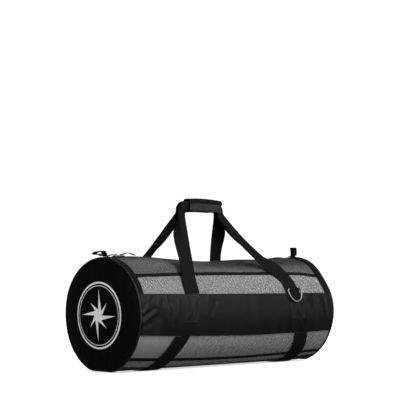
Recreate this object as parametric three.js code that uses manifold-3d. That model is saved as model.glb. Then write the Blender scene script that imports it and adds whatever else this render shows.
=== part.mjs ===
// A mesh dive gear bag: a hollow zipped barrel of net and nylon panels, carried by two webbing handles
// that a padded wrap holds together. Millimetres, +Z up. The bag lies along X with its printed end
// towards -X and its front towards -Y, and it stands on the two straps that run under its base.
import * as THREE from "three";
import { mergeVertices } from "three/addons/utils/BufferGeometryUtils.js";
import Module from "manifold-3d";

// Barrel
const bodyLength = 742; // between the two end seams
const bodyRadius = 152.5;
const baseSag = 6.3; // how far the round base is pressed flat
const sagBlend = 3; // half the height over which the flat base runs into the round side
const clothWall = 2;
const capDome = 12; // how far each end cap bulges
const pipingRadius = 2.5;
const pipingSink = 0.5; // the piping's centre lies this far below the cloth's face
const fitGap = 0.3; // between pieces that touch
const facetGap = 0.8; // between a strap and the cloth under it, whose facets don't line up
const bodySteps = 16;

// Lengthways seams and strips
const bindingWidth = 8;
const bindingProud = 0.8;
const zipTapeWidth = 15; // from the zip's middle
const chainWidth = 7;
const chainProud = 2;
const nearTapeWidth = 15; // the tapes that bind the body's ends above the bands
const farTapeWidth = 20;
const tapeWall = 1.5;

// Webbing
const webWidth = 50;
const webWall = 2;
const foldArc = 8; // width of the webbing taken up by its lengthways fold
const legSpacing = 388; // between a handle's two feet
const handleShift = 13; // the handles sit this far towards the far end
const liftAngle = 57.5; // where a leg leaves the barrel
const handleTop = 455; // height of the folded webbing inside the grip
const handleOffset = 7.2; // from the bag's middle plane to a handle's outer layer in the grip
const exitHeight = 425; // where the legs begin to spread below the grip
const cornerRadius = 23; // of the webbing's turn at each end of the grip
const cornerNear = -97; // where the outer edges of the legs meet the grip's line
const cornerFar = 62;
const cornerFlare = 0.12; // how far the legs' outer edges lean outwards below the corners

// Grip
const gripFrom = -66;
const gripTo = 53;
const gripPeak = -28; // the grip droops from here to its far end
const gripDroop = 5;
const gripOpening = 44; // length of its far end that is open below, where the legs come out
const gripWall = 2.7;
const gripClearance = 0.8;
const gripRound = 1.2; // of the corners of the space inside the wrap
const flapWall = 1.5;
const flapDrop = 8; // how far the flap comes down over the front of the wrap

// D-rings and their tabs
const ringWire = 2.25; // radius
const ringHalfWidth = 26;
const ringDrop = 36;
const ringAngle = 67; // where the bar lies on the barrel
const hingeClearance = 0.5;
const ringTabWidth = 36;
const ringTabTail = 31;
const ringTabReturn = 19; // how far the webbing comes back over itself below the bar
const ringTabWall = 1.6;

// Zip ends, sliders and pulls
const endTabWidth = 20;
const endTabWall = 1.8;
const sliderLength = 17;
const sliderWidth = 12;
const sliderWall = 1.6;
const pullWidth = 8;
const pullWall = 1.6;
const sliderInset = 28.2; // from the near end tape to the near slider's middle
const sliderSpacing = 19.5; // between the middles of the two sliders

const baseStrapSeat = bindingProud + facetGap;
const baseLevel = baseStrapSeat + webWall; // the cloth's lowest height: the straps under it reach the floor
const axisHeight = bodyRadius - baseSag + baseLevel;
const seamX = bodyLength / 2;
const panelEnd = seamX - pipingRadius - fitGap;
const bandSeat = fitGap;
const bandFace = bandSeat + clothWall;

// How the barrel's top sags between its ends: rise is a share of the radius.
const topLine = [
  { along: 0.0, rise: -0.008 },
  { along: 0.1, rise: 0.007 },
  { along: 0.2, rise: -0.003 },
  { along: 0.34, rise: -0.049 },
  { along: 0.5, rise: -0.087 },
  { along: 0.67, rise: -0.058 },
  { along: 0.83, rise: -0.05 },
  { along: 0.9, rise: -0.016 },
  { along: 0.95, rise: -0.03 },
  { along: 1.0, rise: -0.01 },
];

// Soft dents and bulges. Along and length are shares of the body's length, depth of its radius, and the
// rest are degrees round the barrel from its top, positive at the front. A bulge has a negative depth.
const dents = [
  { along: 0.97, angle: 52, depth: 0.055, length: 0.08, breadth: 20 },
  { along: 0.6, angle: 26, depth: 0.035, length: 0.1, breadth: 13 },
  { along: 0.77, angle: 20, depth: 0.03, length: 0.06, breadth: 12 },
  { along: 0.45, angle: 33, depth: -0.02, length: 0.14, breadth: 10 },
  { along: 0.07, angle: 92, depth: 0.035, length: 0.045, breadth: 12 },
  { along: 0.13, angle: 84, depth: -0.015, length: 0.05, breadth: 14 },
  { along: 0.5, angle: 125, depth: -0.025, length: 0.2, breadth: 18 },
  { along: 0.9, angle: 96, depth: -0.015, length: 0.06, breadth: 16 },
  { along: 0.3, angle: -30, depth: 0.03, length: 0.1, breadth: 14 },
  { along: 0.62, angle: -26, depth: 0.035, length: 0.12, breadth: 14 },
  { along: 0.5, angle: -124, depth: -0.02, length: 0.2, breadth: 18 },
  { along: 0.05, angle: -90, depth: 0.03, length: 0.05, breadth: 16 },
];

// The lines that divide the barrel, in degrees from its top at the near end, the middle and the far end.
const seamLines = {
  zip: { near: 0, middle: 0, far: 0 },
  upper: { near: 46.5, middle: 44.5, far: 47 },
  bandTop: { near: 67.5, middle: 69.8, far: 70.9 },
  bandMiddle: { near: 88, middle: 90.5, far: 91.5 },
  bandBottom: { near: 108, middle: 112.5, far: 112 },
  lower: { near: 137, middle: 144, far: 140 },
  base: { near: 151, middle: 160, far: 148 },
};

// How far the webbing stands from the handles' middle as it runs down round the barrel, in shares of the
// spacing of the handles' feet.
const strapFlare = [
  { angle: 68, spread: 0.5 },
  { angle: 111, spread: 0.593 },
  { angle: 138, spread: 0.65 },
  { angle: 180, spread: 0.665 },
];

// The handles' four legs. Foot is a share of the spacing of the feet. The rows say how a leg bows outwards
// and how it folds in half, in degrees, from its foot to the grip. The bow, and how far the leg stands clear
// of its straight line towards the bag's outside, are shares of its length.
const legs = {
  frontNear: {
    foot: 0.5,
    course: [
      { along: 0.2, bow: 0, clear: 0.008, fold: 4 },
      { along: 0.45, bow: 0, clear: 0, fold: 22 },
      { along: 0.68, bow: 0, clear: 0, fold: 58 },
      { along: 0.86, bow: 0, clear: 0, fold: 95 },
      { along: 1, bow: 0, clear: 0, fold: 184 },
    ],
  },
  frontFar: {
    foot: 0.5,
    course: [
      { along: 0.2, bow: -0.02, clear: 0.018, fold: 14 },
      { along: 0.45, bow: -0.045, clear: 0, fold: 90 },
      { along: 0.68, bow: -0.05, clear: 0, fold: 130 },
      { along: 0.86, bow: -0.03, clear: 0, fold: 158 },
      { along: 1, bow: 0, clear: 0, fold: 184 },
    ],
  },
  rearNear: {
    foot: 0.5,
    course: [
      { along: 0.2, bow: 0, clear: 0.018, fold: 14 },
      { along: 0.45, bow: 0, clear: 0, fold: 95 },
      { along: 0.68, bow: 0, clear: 0, fold: 140 },
      { along: 0.86, bow: 0, clear: 0, fold: 164 },
      { along: 1, bow: 0, clear: 0, fold: 184 },
    ],
  },
  rearFar: {
    foot: 0.44,
    course: [
      { along: 0.2, bow: -0.03, clear: 0.018, fold: 0 },
      { along: 0.45, bow: -0.045, clear: 0, fold: 6 },
      { along: 0.68, bow: -0.03, clear: 0, fold: 40 },
      { along: 0.86, bow: -0.015, clear: 0, fold: 96 },
      { along: 1, bow: 0, clear: 0, fold: 184 },
    ],
  },
};

// The profiles of the webbing loops at the zip's two ends, as shares of their height: out is away from the
// bag's middle and up is away from its top.
const endTabHeight = 25;
const endTabs = {
  near: [
    { out: -0.5, up: 0.07 },
    { out: -0.25, up: 0.02 },
    { out: -0.14, up: 0.3 },
    { out: 0.1, up: 0.54 },
    { out: 0.6, up: 0.5 },
    { out: 1.05, up: 0.42 },
    { out: 1.2, up: 0.3 },
    { out: 1.0, up: 0.2 },
    { out: 0.5, up: 0.24 },
    { out: 0.16, up: 0.06 },
  ],
  far: [
    { out: -0.55, up: 0.0 },
    { out: -0.16, up: 0.0 },
    { out: -0.08, up: 0.35 },
    { out: -0.14, up: 0.75 },
    { out: -0.18, up: 0.93 },
    { out: -0.06, up: 1.0 },
    { out: 0.04, up: 0.9 },
    { out: 0.08, up: 0.5 },
    { out: 0.08, up: 0.1 },
  ],
};

// The zip pulls: where each slider stands, which way its pull points, and how the pull arches.
const firstSlider = -panelEnd + nearTapeWidth + sliderInset;
const zipPulls = [
  { name: "near", at: firstSlider, points: -1, length: 25, arch: 0.05, droop: 0.12 },
  { name: "far", at: firstSlider + sliderSpacing, points: 1, length: 48, arch: 0.12, droop: 0.03 },
];

const cloths = {
  net: new THREE.MeshStandardMaterial({ color: 0x77797a, roughness: 0.8 }),
  nylon: new THREE.MeshStandardMaterial({ color: 0x161718, roughness: 0.55 }),
  webbing: new THREE.MeshStandardMaterial({ color: 0x131314, roughness: 0.75 }),
  binding: new THREE.MeshStandardMaterial({ color: 0x0d0d0e, roughness: 0.85 }),
  padding: new THREE.MeshStandardMaterial({ color: 0x2b2c2e, roughness: 0.6 }),
  steel: new THREE.MeshStandardMaterial({ color: 0xb9bcc0, roughness: 0.25, metalness: 1 }),
  zip: new THREE.MeshStandardMaterial({ color: 0x0b0b0c, roughness: 0.5 }),
};

const bag = new THREE.Group();
const radians = THREE.MathUtils.degToRad;

function addPiece(name, cloth, geometry) {
  geometry.computeVertexNormals();
  const piece = new THREE.Mesh(geometry, cloths[cloth]);
  piece.name = name;
  bag.add(piece);
}

// A value from a table, on a smooth line through its rows.
function tableValue(rows, along, inputColumn, column) {
  const last = rows.length - 1;
  const input = THREE.MathUtils.clamp(along, rows[0][inputColumn], rows[last][inputColumn]);
  let k = 0;
  while (k < last - 1 && rows[k + 1][inputColumn] < input) k += 1;
  const slopeAt = (n) => {
    const before = rows[Math.max(n - 1, 0)];
    const after = rows[Math.min(n + 1, last)];
    return (after[column] - before[column]) / (after[inputColumn] - before[inputColumn]);
  };
  const span = rows[k + 1][inputColumn] - rows[k][inputColumn];
  const t = (input - rows[k][inputColumn]) / span;
  return (
    rows[k][column] * (1 + 2 * t) * (1 - t) ** 2 +
    slopeAt(k) * span * t * (1 - t) ** 2 +
    rows[k + 1][column] * t * t * (3 - 2 * t) +
    slopeAt(k + 1) * span * t * t * (t - 1)
  );
}

// The angle of a seam line at a place along the body.
function lineAngle(line, x) {
  const { near, middle, far } = seamLines[line];
  const t = x / bodyLength;
  return middle + (far - near) * t + 2 * (near + far - 2 * middle) * t * t;
}

// Angles that follow from a width in millimetres round the barrel.
const arcAngle = (width) => THREE.MathUtils.radToDeg(width / bodyRadius);

// A point of the cloth's outer face. The angle is from the barrel's top, positive towards the front.
function facePoint(x, angle) {
  const along = x / bodyLength + 0.5;
  const topWindow = Math.abs(angle) < 60 ? Math.cos(radians(angle * 1.5)) ** 2 : 0;
  let share = 1 + tableValue(topLine, along, "along", "rise") * topWindow;
  for (const dent of dents) {
    const away = ((along - dent.along) / dent.length) ** 2 + ((angle - dent.angle) / dent.breadth) ** 2;
    share -= dent.depth * Math.exp(-away);
  }
  const radius = bodyRadius * share;
  const height = axisHeight - baseLevel + radius * Math.cos(radians(angle));
  let sagged = height;
  if (height < sagBlend) sagged = height > -sagBlend ? (height + sagBlend) ** 2 / (4 * sagBlend) : 0;
  return new THREE.Vector3(x, -radius * Math.sin(radians(angle)), baseLevel + sagged);
}

function faceNormal(x, angle) {
  const step = 0.4;
  const round = facePoint(x, angle + step).sub(facePoint(x, angle - step));
  const lengthways = facePoint(x + step, angle).sub(facePoint(x - step, angle));
  return round.cross(lengthways).normalize();
}

// A point at a level above the cloth's face, or below it where the level is negative.
function levelPoint(x, angle, level) {
  return facePoint(x, angle).addScaledVector(faceNormal(x, angle), level);
}

// Collects the triangles of one closed solid.
class Faces {
  constructor() {
    this.positions = [];
  }
  triangle(a, b, c) {
    const same = (p, q) => p.distanceToSquared(q) < 1e-9;
    if (same(a, b) || same(b, c) || same(a, c)) return;
    for (const p of [a, b, c]) this.positions.push(p.x, p.y, p.z);
  }
  quad(a, b, c, d) {
    this.triangle(a, b, c);
    this.triangle(a, c, d);
  }
  geometry() {
    const made = new THREE.BufferGeometry();
    return made.setAttribute("position", new THREE.Float32BufferAttribute(this.positions, 3));
  }
}

// A sheet with thickness. Each station is a row of pairs of points, one on each face of the sheet. Along
// the stations and then along a row, the outer face is on the left-hand side. A row can close on itself.
function sheetSolid(stations, closedRow = false) {
  const faces = new Faces();
  const rowSteps = stations[0].length - (closedRow ? 0 : 1);
  const next = (j) => (j + 1) % stations[0].length;
  for (let i = 0; i + 1 < stations.length; i += 1) {
    const [here, there] = [stations[i], stations[i + 1]];
    for (let j = 0; j < rowSteps; j += 1) {
      const k = next(j);
      faces.quad(here[j].outer, here[k].outer, there[k].outer, there[j].outer);
      faces.quad(here[j].inner, there[j].inner, there[k].inner, here[k].inner);
    }
    if (!closedRow) {
      const k = stations[0].length - 1;
      faces.quad(here[0].outer, there[0].outer, there[0].inner, here[0].inner);
      faces.quad(here[k].outer, here[k].inner, there[k].inner, there[k].outer);
    }
  }
  const [first, last] = [stations[0], stations[stations.length - 1]];
  for (let j = 0; j < rowSteps; j += 1) {
    const k = next(j);
    faces.quad(first[j].outer, first[j].inner, first[k].inner, first[k].outer);
    faces.quad(last[j].outer, last[k].outer, last[k].inner, last[j].inner);
  }
  return faces.geometry();
}

// A solid rod through rings of points, closed on itself.
function ringSolid(rings) {
  const faces = new Faces();
  rings.forEach((ring, i) => {
    const there = rings[(i + 1) % rings.length];
    ring.forEach((point, j) => {
      const k = (j + 1) % ring.length;
      faces.quad(point, ring[k], there[k], there[j]);
    });
  });
  return faces.geometry();
}

const shares = (steps) => Array.from({ length: steps + 1 }, (_, i) => i / steps);
const between = (from, to, steps) => shares(steps).map((t) => from + (to - from) * t);

// The places along the body where every panel has its corners. The end tapes share the outer ones.
const tapeFrom = -panelEnd + nearTapeWidth;
const tapeTo = panelEnd - farTapeWidth;
const bodyPlaces = [-panelEnd, ...between(tapeFrom, tapeTo, bodySteps), panelEnd];

// The angles of a panel at a place along the body: a list of spans from edge to edge, each with its steps.
// An edge is a seam line with a distance from it in millimetres round the barrel.
function spanAngles(spans, x) {
  const angleOf = ([line, offset]) => lineAngle(line, x) + arcAngle(offset);
  const angles = [angleOf(spans[0].from)];
  for (const { from, to, steps } of spans) {
    angles.push(...between(angleOf(from), angleOf(to), steps).slice(1));
  }
  return angles;
}

// A panel of the barrel between two levels. Side is 1 at the front and -1 at the rear.
function panel(name, cloth, side, spans, lower, upper, places = bodyPlaces) {
  const stations = places.map((x) => {
    const angles = spanAngles(spans, x).map((angle) => side * angle);
    if (side < 0) angles.reverse();
    return angles.map((angle) => ({
      outer: levelPoint(x, angle, upper),
      inner: levelPoint(x, angle, lower),
    }));
  });
  addPiece(name, cloth, sheetSolid(stations));
}

const halfBinding = bindingWidth / 2;

// The panels of one side, from the zip down to the base. The steps keep the bands in line with the net.
const topSpan = { from: ["zip", zipTapeWidth + fitGap], to: ["upper", -halfBinding - fitGap], steps: 4 };
const shoulderSpan = { from: ["upper", halfBinding + fitGap], to: ["bandTop", 0], steps: 2 };
const bandUpperSpan = { from: ["bandTop", 0], to: ["bandMiddle", 0], steps: 2 };
const bandLowerSpan = { from: ["bandMiddle", 0], to: ["bandBottom", 0], steps: 2 };
const bellySpan = { from: ["bandBottom", 0], to: ["lower", -halfBinding - fitGap], steps: 3 };
const baseSpan = { from: ["lower", halfBinding + fitGap], to: ["base", 0], steps: 2 };

function shiftedSpan(span, shift, end) {
  return { ...span, [end]: [span[end][0], span[end][1] + shift] };
}

for (const [face, side] of [["front", 1], ["rear", -1]]) {
  const halfJoint = fitGap / 2;
  panel(`mesh_top_${face}`, "net", side, [topSpan], -clothWall, 0);
  panel(
    `mesh_shoulder_${face}`, "net", side,
    [shoulderSpan, shiftedSpan(bandUpperSpan, -halfJoint, "to")], -clothWall, 0,
  );
  panel(
    `mesh_belly_${face}`, "net", side,
    [shiftedSpan(bandLowerSpan, halfJoint, "from"), bellySpan], -clothWall, 0,
  );
  panel(`mesh_base_${face}`, "net", side, [baseSpan], -clothWall, 0);
  panel(`side_band_${face}`, "nylon", side, [bandUpperSpan, bandLowerSpan], bandSeat, bandFace);
  for (const line of ["upper", "lower"]) {
    const span = { from: [line, -halfBinding], to: [line, halfBinding], steps: 1 };
    panel(`binding_${line}_${face}`, "binding", side, [span], -clothWall, bindingProud);
  }
  const tape = { from: ["zip", chainWidth / 2 + fitGap], to: ["zip", zipTapeWidth], steps: 1 };
  panel(`zip_tape_${face}`, "zip", side, [tape], -clothWall, 0);
}

// The zip's chain stops short of the end tapes.
const chainPlaces = [tapeFrom + fitGap, ...bodyPlaces.slice(2, -2), tapeTo - fitGap];
const chainSpan = { from: ["zip", -chainWidth / 2], to: ["zip", chainWidth / 2], steps: 1 };
panel("zip_chain", "zip", 1, [chainSpan], -clothWall, chainProud, chainPlaces);

// The nylon base panel runs from one base line, under the bag, to the other.
function basePanel() {
  const stations = bodyPlaces.map((x) => {
    const edge = lineAngle("base", x) + arcAngle(fitGap);
    const angles = between(edge, 360 - edge, 6);
    return angles.map((angle) => ({
      outer: levelPoint(x, angle, 0),
      inner: levelPoint(x, angle, -clothWall),
    }));
  });
  addPiece("base_panel", "nylon", sheetSolid(stations));
}
basePanel();

// The tapes over the body's ends, from one band over the top to the other.
function endTape(name, from, to) {
  const level = bindingProud + fitGap;
  const stations = between(from, to, 1).map((x) => {
    const down = [
      arcAngle(chainWidth / 2 + fitGap),
      ...spanAngles([{ from: ["zip", zipTapeWidth], to: ["upper", -halfBinding], steps: 4 }], x),
      ...spanAngles([{ from: ["upper", halfBinding], to: ["bandTop", -fitGap], steps: 2 }], x),
    ];
    const angles = [...down.map((angle) => -angle).reverse(), ...down];
    return angles.map((angle) => ({
      outer: levelPoint(x, angle, level + tapeWall),
      inner: levelPoint(x, angle, level),
    }));
  });
  addPiece(name, "binding", sheetSolid(stations));
}
endTape("end_tape_near", -panelEnd, tapeFrom);
endTape("end_tape_far", tapeTo, panelEnd);

// The piping and the domed cap of each end.
const rimSteps = 32;
const rimAngles = between(0, 360, rimSteps).slice(0, -1);

function piping(name, x) {
  const sides = 6;
  const rings = rimAngles.map((angle) => {
    const centre = levelPoint(x, angle, -pipingSink);
    const outward = faceNormal(x, angle).setX(0).normalize();
    return between(0, 360, sides)
      .slice(0, -1)
      .map((turn) =>
        centre
          .clone()
          .addScaledVector(outward, pipingRadius * Math.cos(radians(turn)))
          .add(new THREE.Vector3(-pipingRadius * Math.sin(radians(turn)), 0, 0)),
      );
  });
  addPiece(name, "binding", ringSolid(rings));
}

// How the cap bulges from its rim, at 1, to its middle, at 0.
const capRows = [
  { reach: 0, bulge: 1 },
  { reach: 0.45, bulge: 0.9 },
  { reach: 0.8, bulge: 0.5 },
  { reach: 0.95, bulge: 0.15 },
  { reach: 1, bulge: 0 },
];

function endCap(name, x) {
  const way = Math.sign(x);
  const middle = new THREE.Vector3(x, 0, axisHeight);
  const edgeLevel = -(pipingSink + pipingRadius + fitGap);
  const stations = capRows.map(({ reach, bulge }) => {
    const angles = way < 0 ? rimAngles : [...rimAngles].reverse();
    return angles.map((angle) => {
      const point = middle.clone().lerp(levelPoint(x, angle, edgeLevel), reach);
      const shift = (depth) => point.clone().setX(x + way * (capDome * bulge + depth));
      return { outer: shift(clothWall / 2), inner: shift(-clothWall / 2) };
    });
  });
  addPiece(name, "nylon", sheetSolid(stations, true));
}

for (const [end, x] of [["near", -seamX], ["far", seamX]]) {
  piping(`piping_${end}`, x);
  endCap(`end_cap_${end}`, x);
}

// The straps that run from band to band under the bag.
const strapPlace = (angle, end) =>
  handleShift + end * legSpacing * tableValue(strapFlare, Math.min(angle, 360 - angle), "angle", "spread");

function baseStrap(name, end) {
  const steps = 22;
  const start = lineAngle("bandBottom", strapPlace(111, end)) + arcAngle(1.3);
  const stations = between(start, 360 - start, steps).map((angle) => {
    const middle = strapPlace(angle, end);
    return [-webWidth / 2, webWidth / 2].map((across) => ({
      outer: levelPoint(middle + across, angle, baseStrapSeat + webWall),
      inner: levelPoint(middle + across, angle, baseStrapSeat),
    }));
  });
  stations.forEach((row) => row.reverse());
  addPiece(name, "webbing", sheetSolid(stations));
}
baseStrap("base_strap_near", -1);
baseStrap("base_strap_far", 1);

// Points on the round that joins two straight lines at a corner.
function roundedCorner(before, corner, after, radius, steps) {
  const toBefore = before.clone().sub(corner).normalize();
  const toAfter = after.clone().sub(corner).normalize();
  const half = toBefore.angleTo(toAfter) / 2;
  const reach = radius / Math.tan(half);
  const inward = toBefore.clone().add(toAfter).normalize();
  const centre = corner.clone().addScaledVector(inward, radius / Math.sin(half));
  const start = toBefore.multiplyScalar(reach).add(corner).sub(centre);
  const end = toAfter.multiplyScalar(reach).add(corner).sub(centre);
  const turn = start.angleTo(end);
  return shares(steps).map((t) =>
    start
      .clone()
      .multiplyScalar(Math.sin((1 - t) * turn) / Math.sin(turn))
      .addScaledVector(end, Math.sin(t * turn) / Math.sin(turn))
      .add(centre),
  );
}

const gripLine = (x) => handleTop - gripDroop * ((x - gripPeak) / (gripTo - gripPeak)) ** 2;
const frontSide = (side) => new THREE.Vector3(0, -side, 0);

// The webbing folds lengthways: the half towards the bag's middle stays flat and the other half turns back
// behind it. A row runs from the flat half's edge over the fold to the other edge, and its places are
// counted across the webbing from its middle.
const flatHalf = (webWidth - foldArc) / 2;
const foldSteps = 3;
const foldPlaces = between(foldArc / 2, -foldArc / 2, foldSteps);
const rowPlaces = [webWidth / 2, ...foldPlaces, -webWidth / 2];

// A row that lies flat on the cloth.
function clothRow(x, angle, side, end) {
  return rowPlaces.map((across) => ({
    outer: levelPoint(x - end * across, side * angle, facetGap + webWall),
    inner: levelPoint(x - end * across, side * angle, facetGap),
  }));
}

// A row in the air, given by the point where its fold begins.
function freeRow({ point, tangent, out, fold, side }) {
  const facing = out.clone().addScaledVector(tangent, -out.dot(tangent)).normalize();
  const across = tangent.clone().cross(facing).multiplyScalar(side);
  const line = [{ at: point.clone().addScaledVector(across, flatHalf), heading: 0 }];
  line.push({ at: point.clone(), heading: 0 });
  const step = radians(fold) / foldSteps;
  const walk = (heading, distance, next) => {
    const from = line[line.length - 1].at.clone();
    from.addScaledVector(across, -Math.cos(heading) * distance);
    line.push({ at: from.addScaledVector(facing, -Math.sin(heading) * distance), heading: next });
  };
  for (let k = 0; k < foldSteps; k += 1) walk((k + 0.5) * step, foldArc / foldSteps, (k + 1) * step);
  walk(radians(fold), flatHalf, radians(fold));
  return line.map(({ at, heading }) => {
    const normal = facing.clone().multiplyScalar(Math.cos(heading));
    normal.addScaledVector(across, -Math.sin(heading)).multiplyScalar(webWall / 2);
    return { outer: at.clone().add(normal), inner: at.clone().sub(normal) };
  });
}

// One leg from its foot to the grip: rows on the cloth, then stops on the line where its fold begins.
function legCourse(leg, side, end) {
  const footX = handleShift + end * legSpacing * leg.foot;
  const footAngle = lineAngle("bandTop", footX) - arcAngle(1);
  const cornerX = end < 0 ? cornerNear : cornerFar;
  const cornerHeight = gripLine(THREE.MathUtils.clamp(cornerX, gripFrom, gripTo));
  const corner = new THREE.Vector3(cornerX, -side * handleOffset, cornerHeight);
  const exitX = cornerX + end * cornerFlare * (corner.z - exitHeight);
  const exit = new THREE.Vector3(exitX, -side * handleOffset, exitHeight);
  const lean = (exitX - footX) * 0.03;
  const clothRows = [
    clothRow(footX, footAngle, side, end),
    clothRow(footX + lean / 2, (footAngle + liftAngle) / 2, side, end),
    clothRow(footX + lean, liftAngle, side, end),
  ];
  const lift = levelPoint(footX + lean - (end * foldArc) / 2, side * liftAngle, facetGap + webWall / 2);
  const legLength = lift.distanceTo(exit);
  const stops = leg.course.map(({ along, bow, clear, fold }) => {
    const shift = new THREE.Vector3(end * bow, -side * clear, 0).multiplyScalar(legLength);
    return { point: lift.clone().lerp(exit, along).add(shift), fold };
  });
  return { clothRows, lift, stops, corner };
}

// A whole handle: up one leg, through the grip and down the other leg. Side is 1 at the front.
function handle(name, side, nearLeg, farLeg) {
  const near = legCourse(nearLeg, side, -1);
  const far = legCourse(farLeg, side, 1);
  const folded = (point) => ({ point, fold: legs.frontNear.course[4].fold });
  const straightFrom = cornerNear + cornerRadius + 2;
  const straightTo = cornerFar - cornerRadius + 1;
  const inGrip = (x) => new THREE.Vector3(x, -side * handleOffset, gripLine(x));
  const straight = between(straightFrom, straightTo, 4).map(inGrip);
  const turn = ({ stops, corner }, inside) =>
    roundedCorner(stops[stops.length - 1].point, corner, inside, cornerRadius, 4);
  const stops = [
    { point: near.lift, fold: 0 },
    ...near.stops,
    ...turn(near, straight[0]).map(folded),
    ...straight.slice(1, -1).map(folded),
    ...turn(far, straight[straight.length - 1]).reverse().map(folded),
    ...[...far.stops].reverse(),
    { point: far.lift, fold: 0 },
  ];
  const curve = new THREE.CatmullRomCurve3(stops.map((stop) => stop.point), false, "centripetal");
  const out = frontSide(side);
  const rows = stops.slice(1, -1).map(({ point, fold }, i) => {
    const tangent = curve.getTangent((i + 1) / (stops.length - 1));
    return freeRow({ point, tangent, out, fold, side });
  });
  const stations = [...near.clothRows, ...rows, ...[...far.clothRows].reverse()];
  if (side > 0) stations.forEach((row) => row.reverse());
  addPiece(name, "webbing", sheetSolid(stations));
}
handle("handle_front", 1, legs.frontNear, legs.frontFar);
handle("handle_rear", -1, legs.rearNear, legs.rearFar);

// The grip is a padded wrap round both folded handles. Its section is a box with rounded corners, given as
// a path from the bottom of the rear side over the top to the front and on along the bottom to the rear.
const foldRise = foldArc / Math.PI + webWall / 2;
const cavityHalfWidth = handleOffset + webWall / 2 + gripClearance;
const cavityTop = foldRise + gripClearance;
const cavityBottom = -flatHalf - 2 * gripClearance;

function gripCorner(x, sideWay, upWay, growth, fromTurn, toTurn) {
  const centreY = sideWay * (cavityHalfWidth - gripRound);
  const centreZ = gripLine(x) + (upWay > 0 ? cavityTop - gripRound : cavityBottom + gripRound);
  const radius = gripRound + growth;
  return between(fromTurn, toTurn, 2).map((turn) => {
    const [sideways, upwards] = [radius * Math.sin(radians(turn)), radius * Math.cos(radians(turn))];
    return new THREE.Vector3(x, centreY + sideways, centreZ + upwards);
  });
}

// The wrap's bottom edges meet under the handles. At its far end they part and hang straight down.
function gripPath(x, growth) {
  const opening = THREE.MathUtils.smoothstep(x, gripTo - gripOpening, gripTo - gripOpening + 12);
  const bottom = gripLine(x) + cavityBottom - growth;
  const edge = (side) => {
    const closed = new THREE.Vector3(x, side * fitGap, bottom);
    const open = new THREE.Vector3(x, side * (cavityHalfWidth + growth), gripLine(x) + cavityBottom - 1.5);
    return closed.lerp(open, opening);
  };
  const turnFrom = 180 - 80 * opening;
  return [
    edge(1),
    ...gripCorner(x, 1, -1, growth, turnFrom, 90),
    ...gripCorner(x, 1, 1, growth, 90, 0),
    ...gripCorner(x, -1, 1, growth, 0, -90),
    ...gripCorner(x, -1, -1, growth, -90, -turnFrom),
    edge(-1),
  ];
}

function gripWrap() {
  const stations = between(gripFrom, gripTo, 8).map((x) => {
    const outer = gripPath(x, gripWall);
    return gripPath(x, 0).map((inner, k) => ({ outer: outer[k], inner }));
  });
  addPiece("grip_wrap", "padding", sheetSolid(stations));
}
gripWrap();

// The flap comes up the back of the wrap, over its top and a little way down its front.
function gripFlap() {
  const seat = gripWall + fitGap;
  const edges = (x, growth) => [
    new THREE.Vector3(x, cavityHalfWidth + growth, gripLine(x) + cavityBottom + 2),
    ...gripCorner(x, 1, 1, growth, 90, 0),
    ...gripCorner(x, -1, 1, growth, 0, -90),
    new THREE.Vector3(x, -cavityHalfWidth - growth, gripLine(x) + cavityTop - flapDrop),
  ];
  const stations = between(gripFrom + 2, gripTo + 3, 6).map((x) => {
    const outer = edges(x, seat + flapWall);
    return edges(x, seat).map((inner, k) => ({ outer: outer[k], inner }));
  });
  addPiece("grip_flap", "nylon", sheetSolid(stations));
}
gripFlap();

// A D-ring on the foot of a leg, hanging over the band, and the webbing tab that its bar turns in. The
// place is its x, and side is 1 at the front.
const tabSeat = Math.max(facetGap + webWall, bandFace) + facetGap;
const barLevel = tabSeat + ringTabWall + hingeClearance + ringWire;

// A point from the arc's distance below the ring's bar and the level above the cloth.
function ringPlace(x, side, below, level) {
  return levelPoint(x, side * (ringAngle + arcAngle(below)), level);
}

function ringTab(name, x, side) {
  const layer = ringTabWall / 2;
  const innerLevel = tabSeat + layer;
  const outerLevel = innerLevel + ringTabWall + 0.4;
  const loopRadius = ringWire + hingeClearance + layer;
  const course = [
    [ringTabTail, innerLevel],
    [ringTabTail / 2, innerLevel],
    ...between(-90, -270, 6).map((turn) => [
      loopRadius * Math.cos(radians(turn)),
      barLevel + loopRadius * Math.sin(radians(turn)),
    ]),
    [loopRadius + 3.5, outerLevel + 1.8],
    [loopRadius + 8, outerLevel],
    [ringTabReturn, outerLevel],
  ];
  const stations = course.map(([below, level], i) => {
    const before = course[Math.max(i - 1, 0)];
    const after = course[Math.min(i + 1, course.length - 1)];
    const run = new THREE.Vector2(after[0] - before[0], after[1] - before[1]).normalize();
    const place = (across, depth) =>
      ringPlace(x + across, side, below - run.y * depth, level + run.x * depth);
    return [ringTabWidth / 2, -ringTabWidth / 2].map((across) => ({
      outer: place(across * side, layer),
      inner: place(across * side, -layer),
    }));
  });
  addPiece(name, "webbing", sheetSolid(stations));
}

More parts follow.
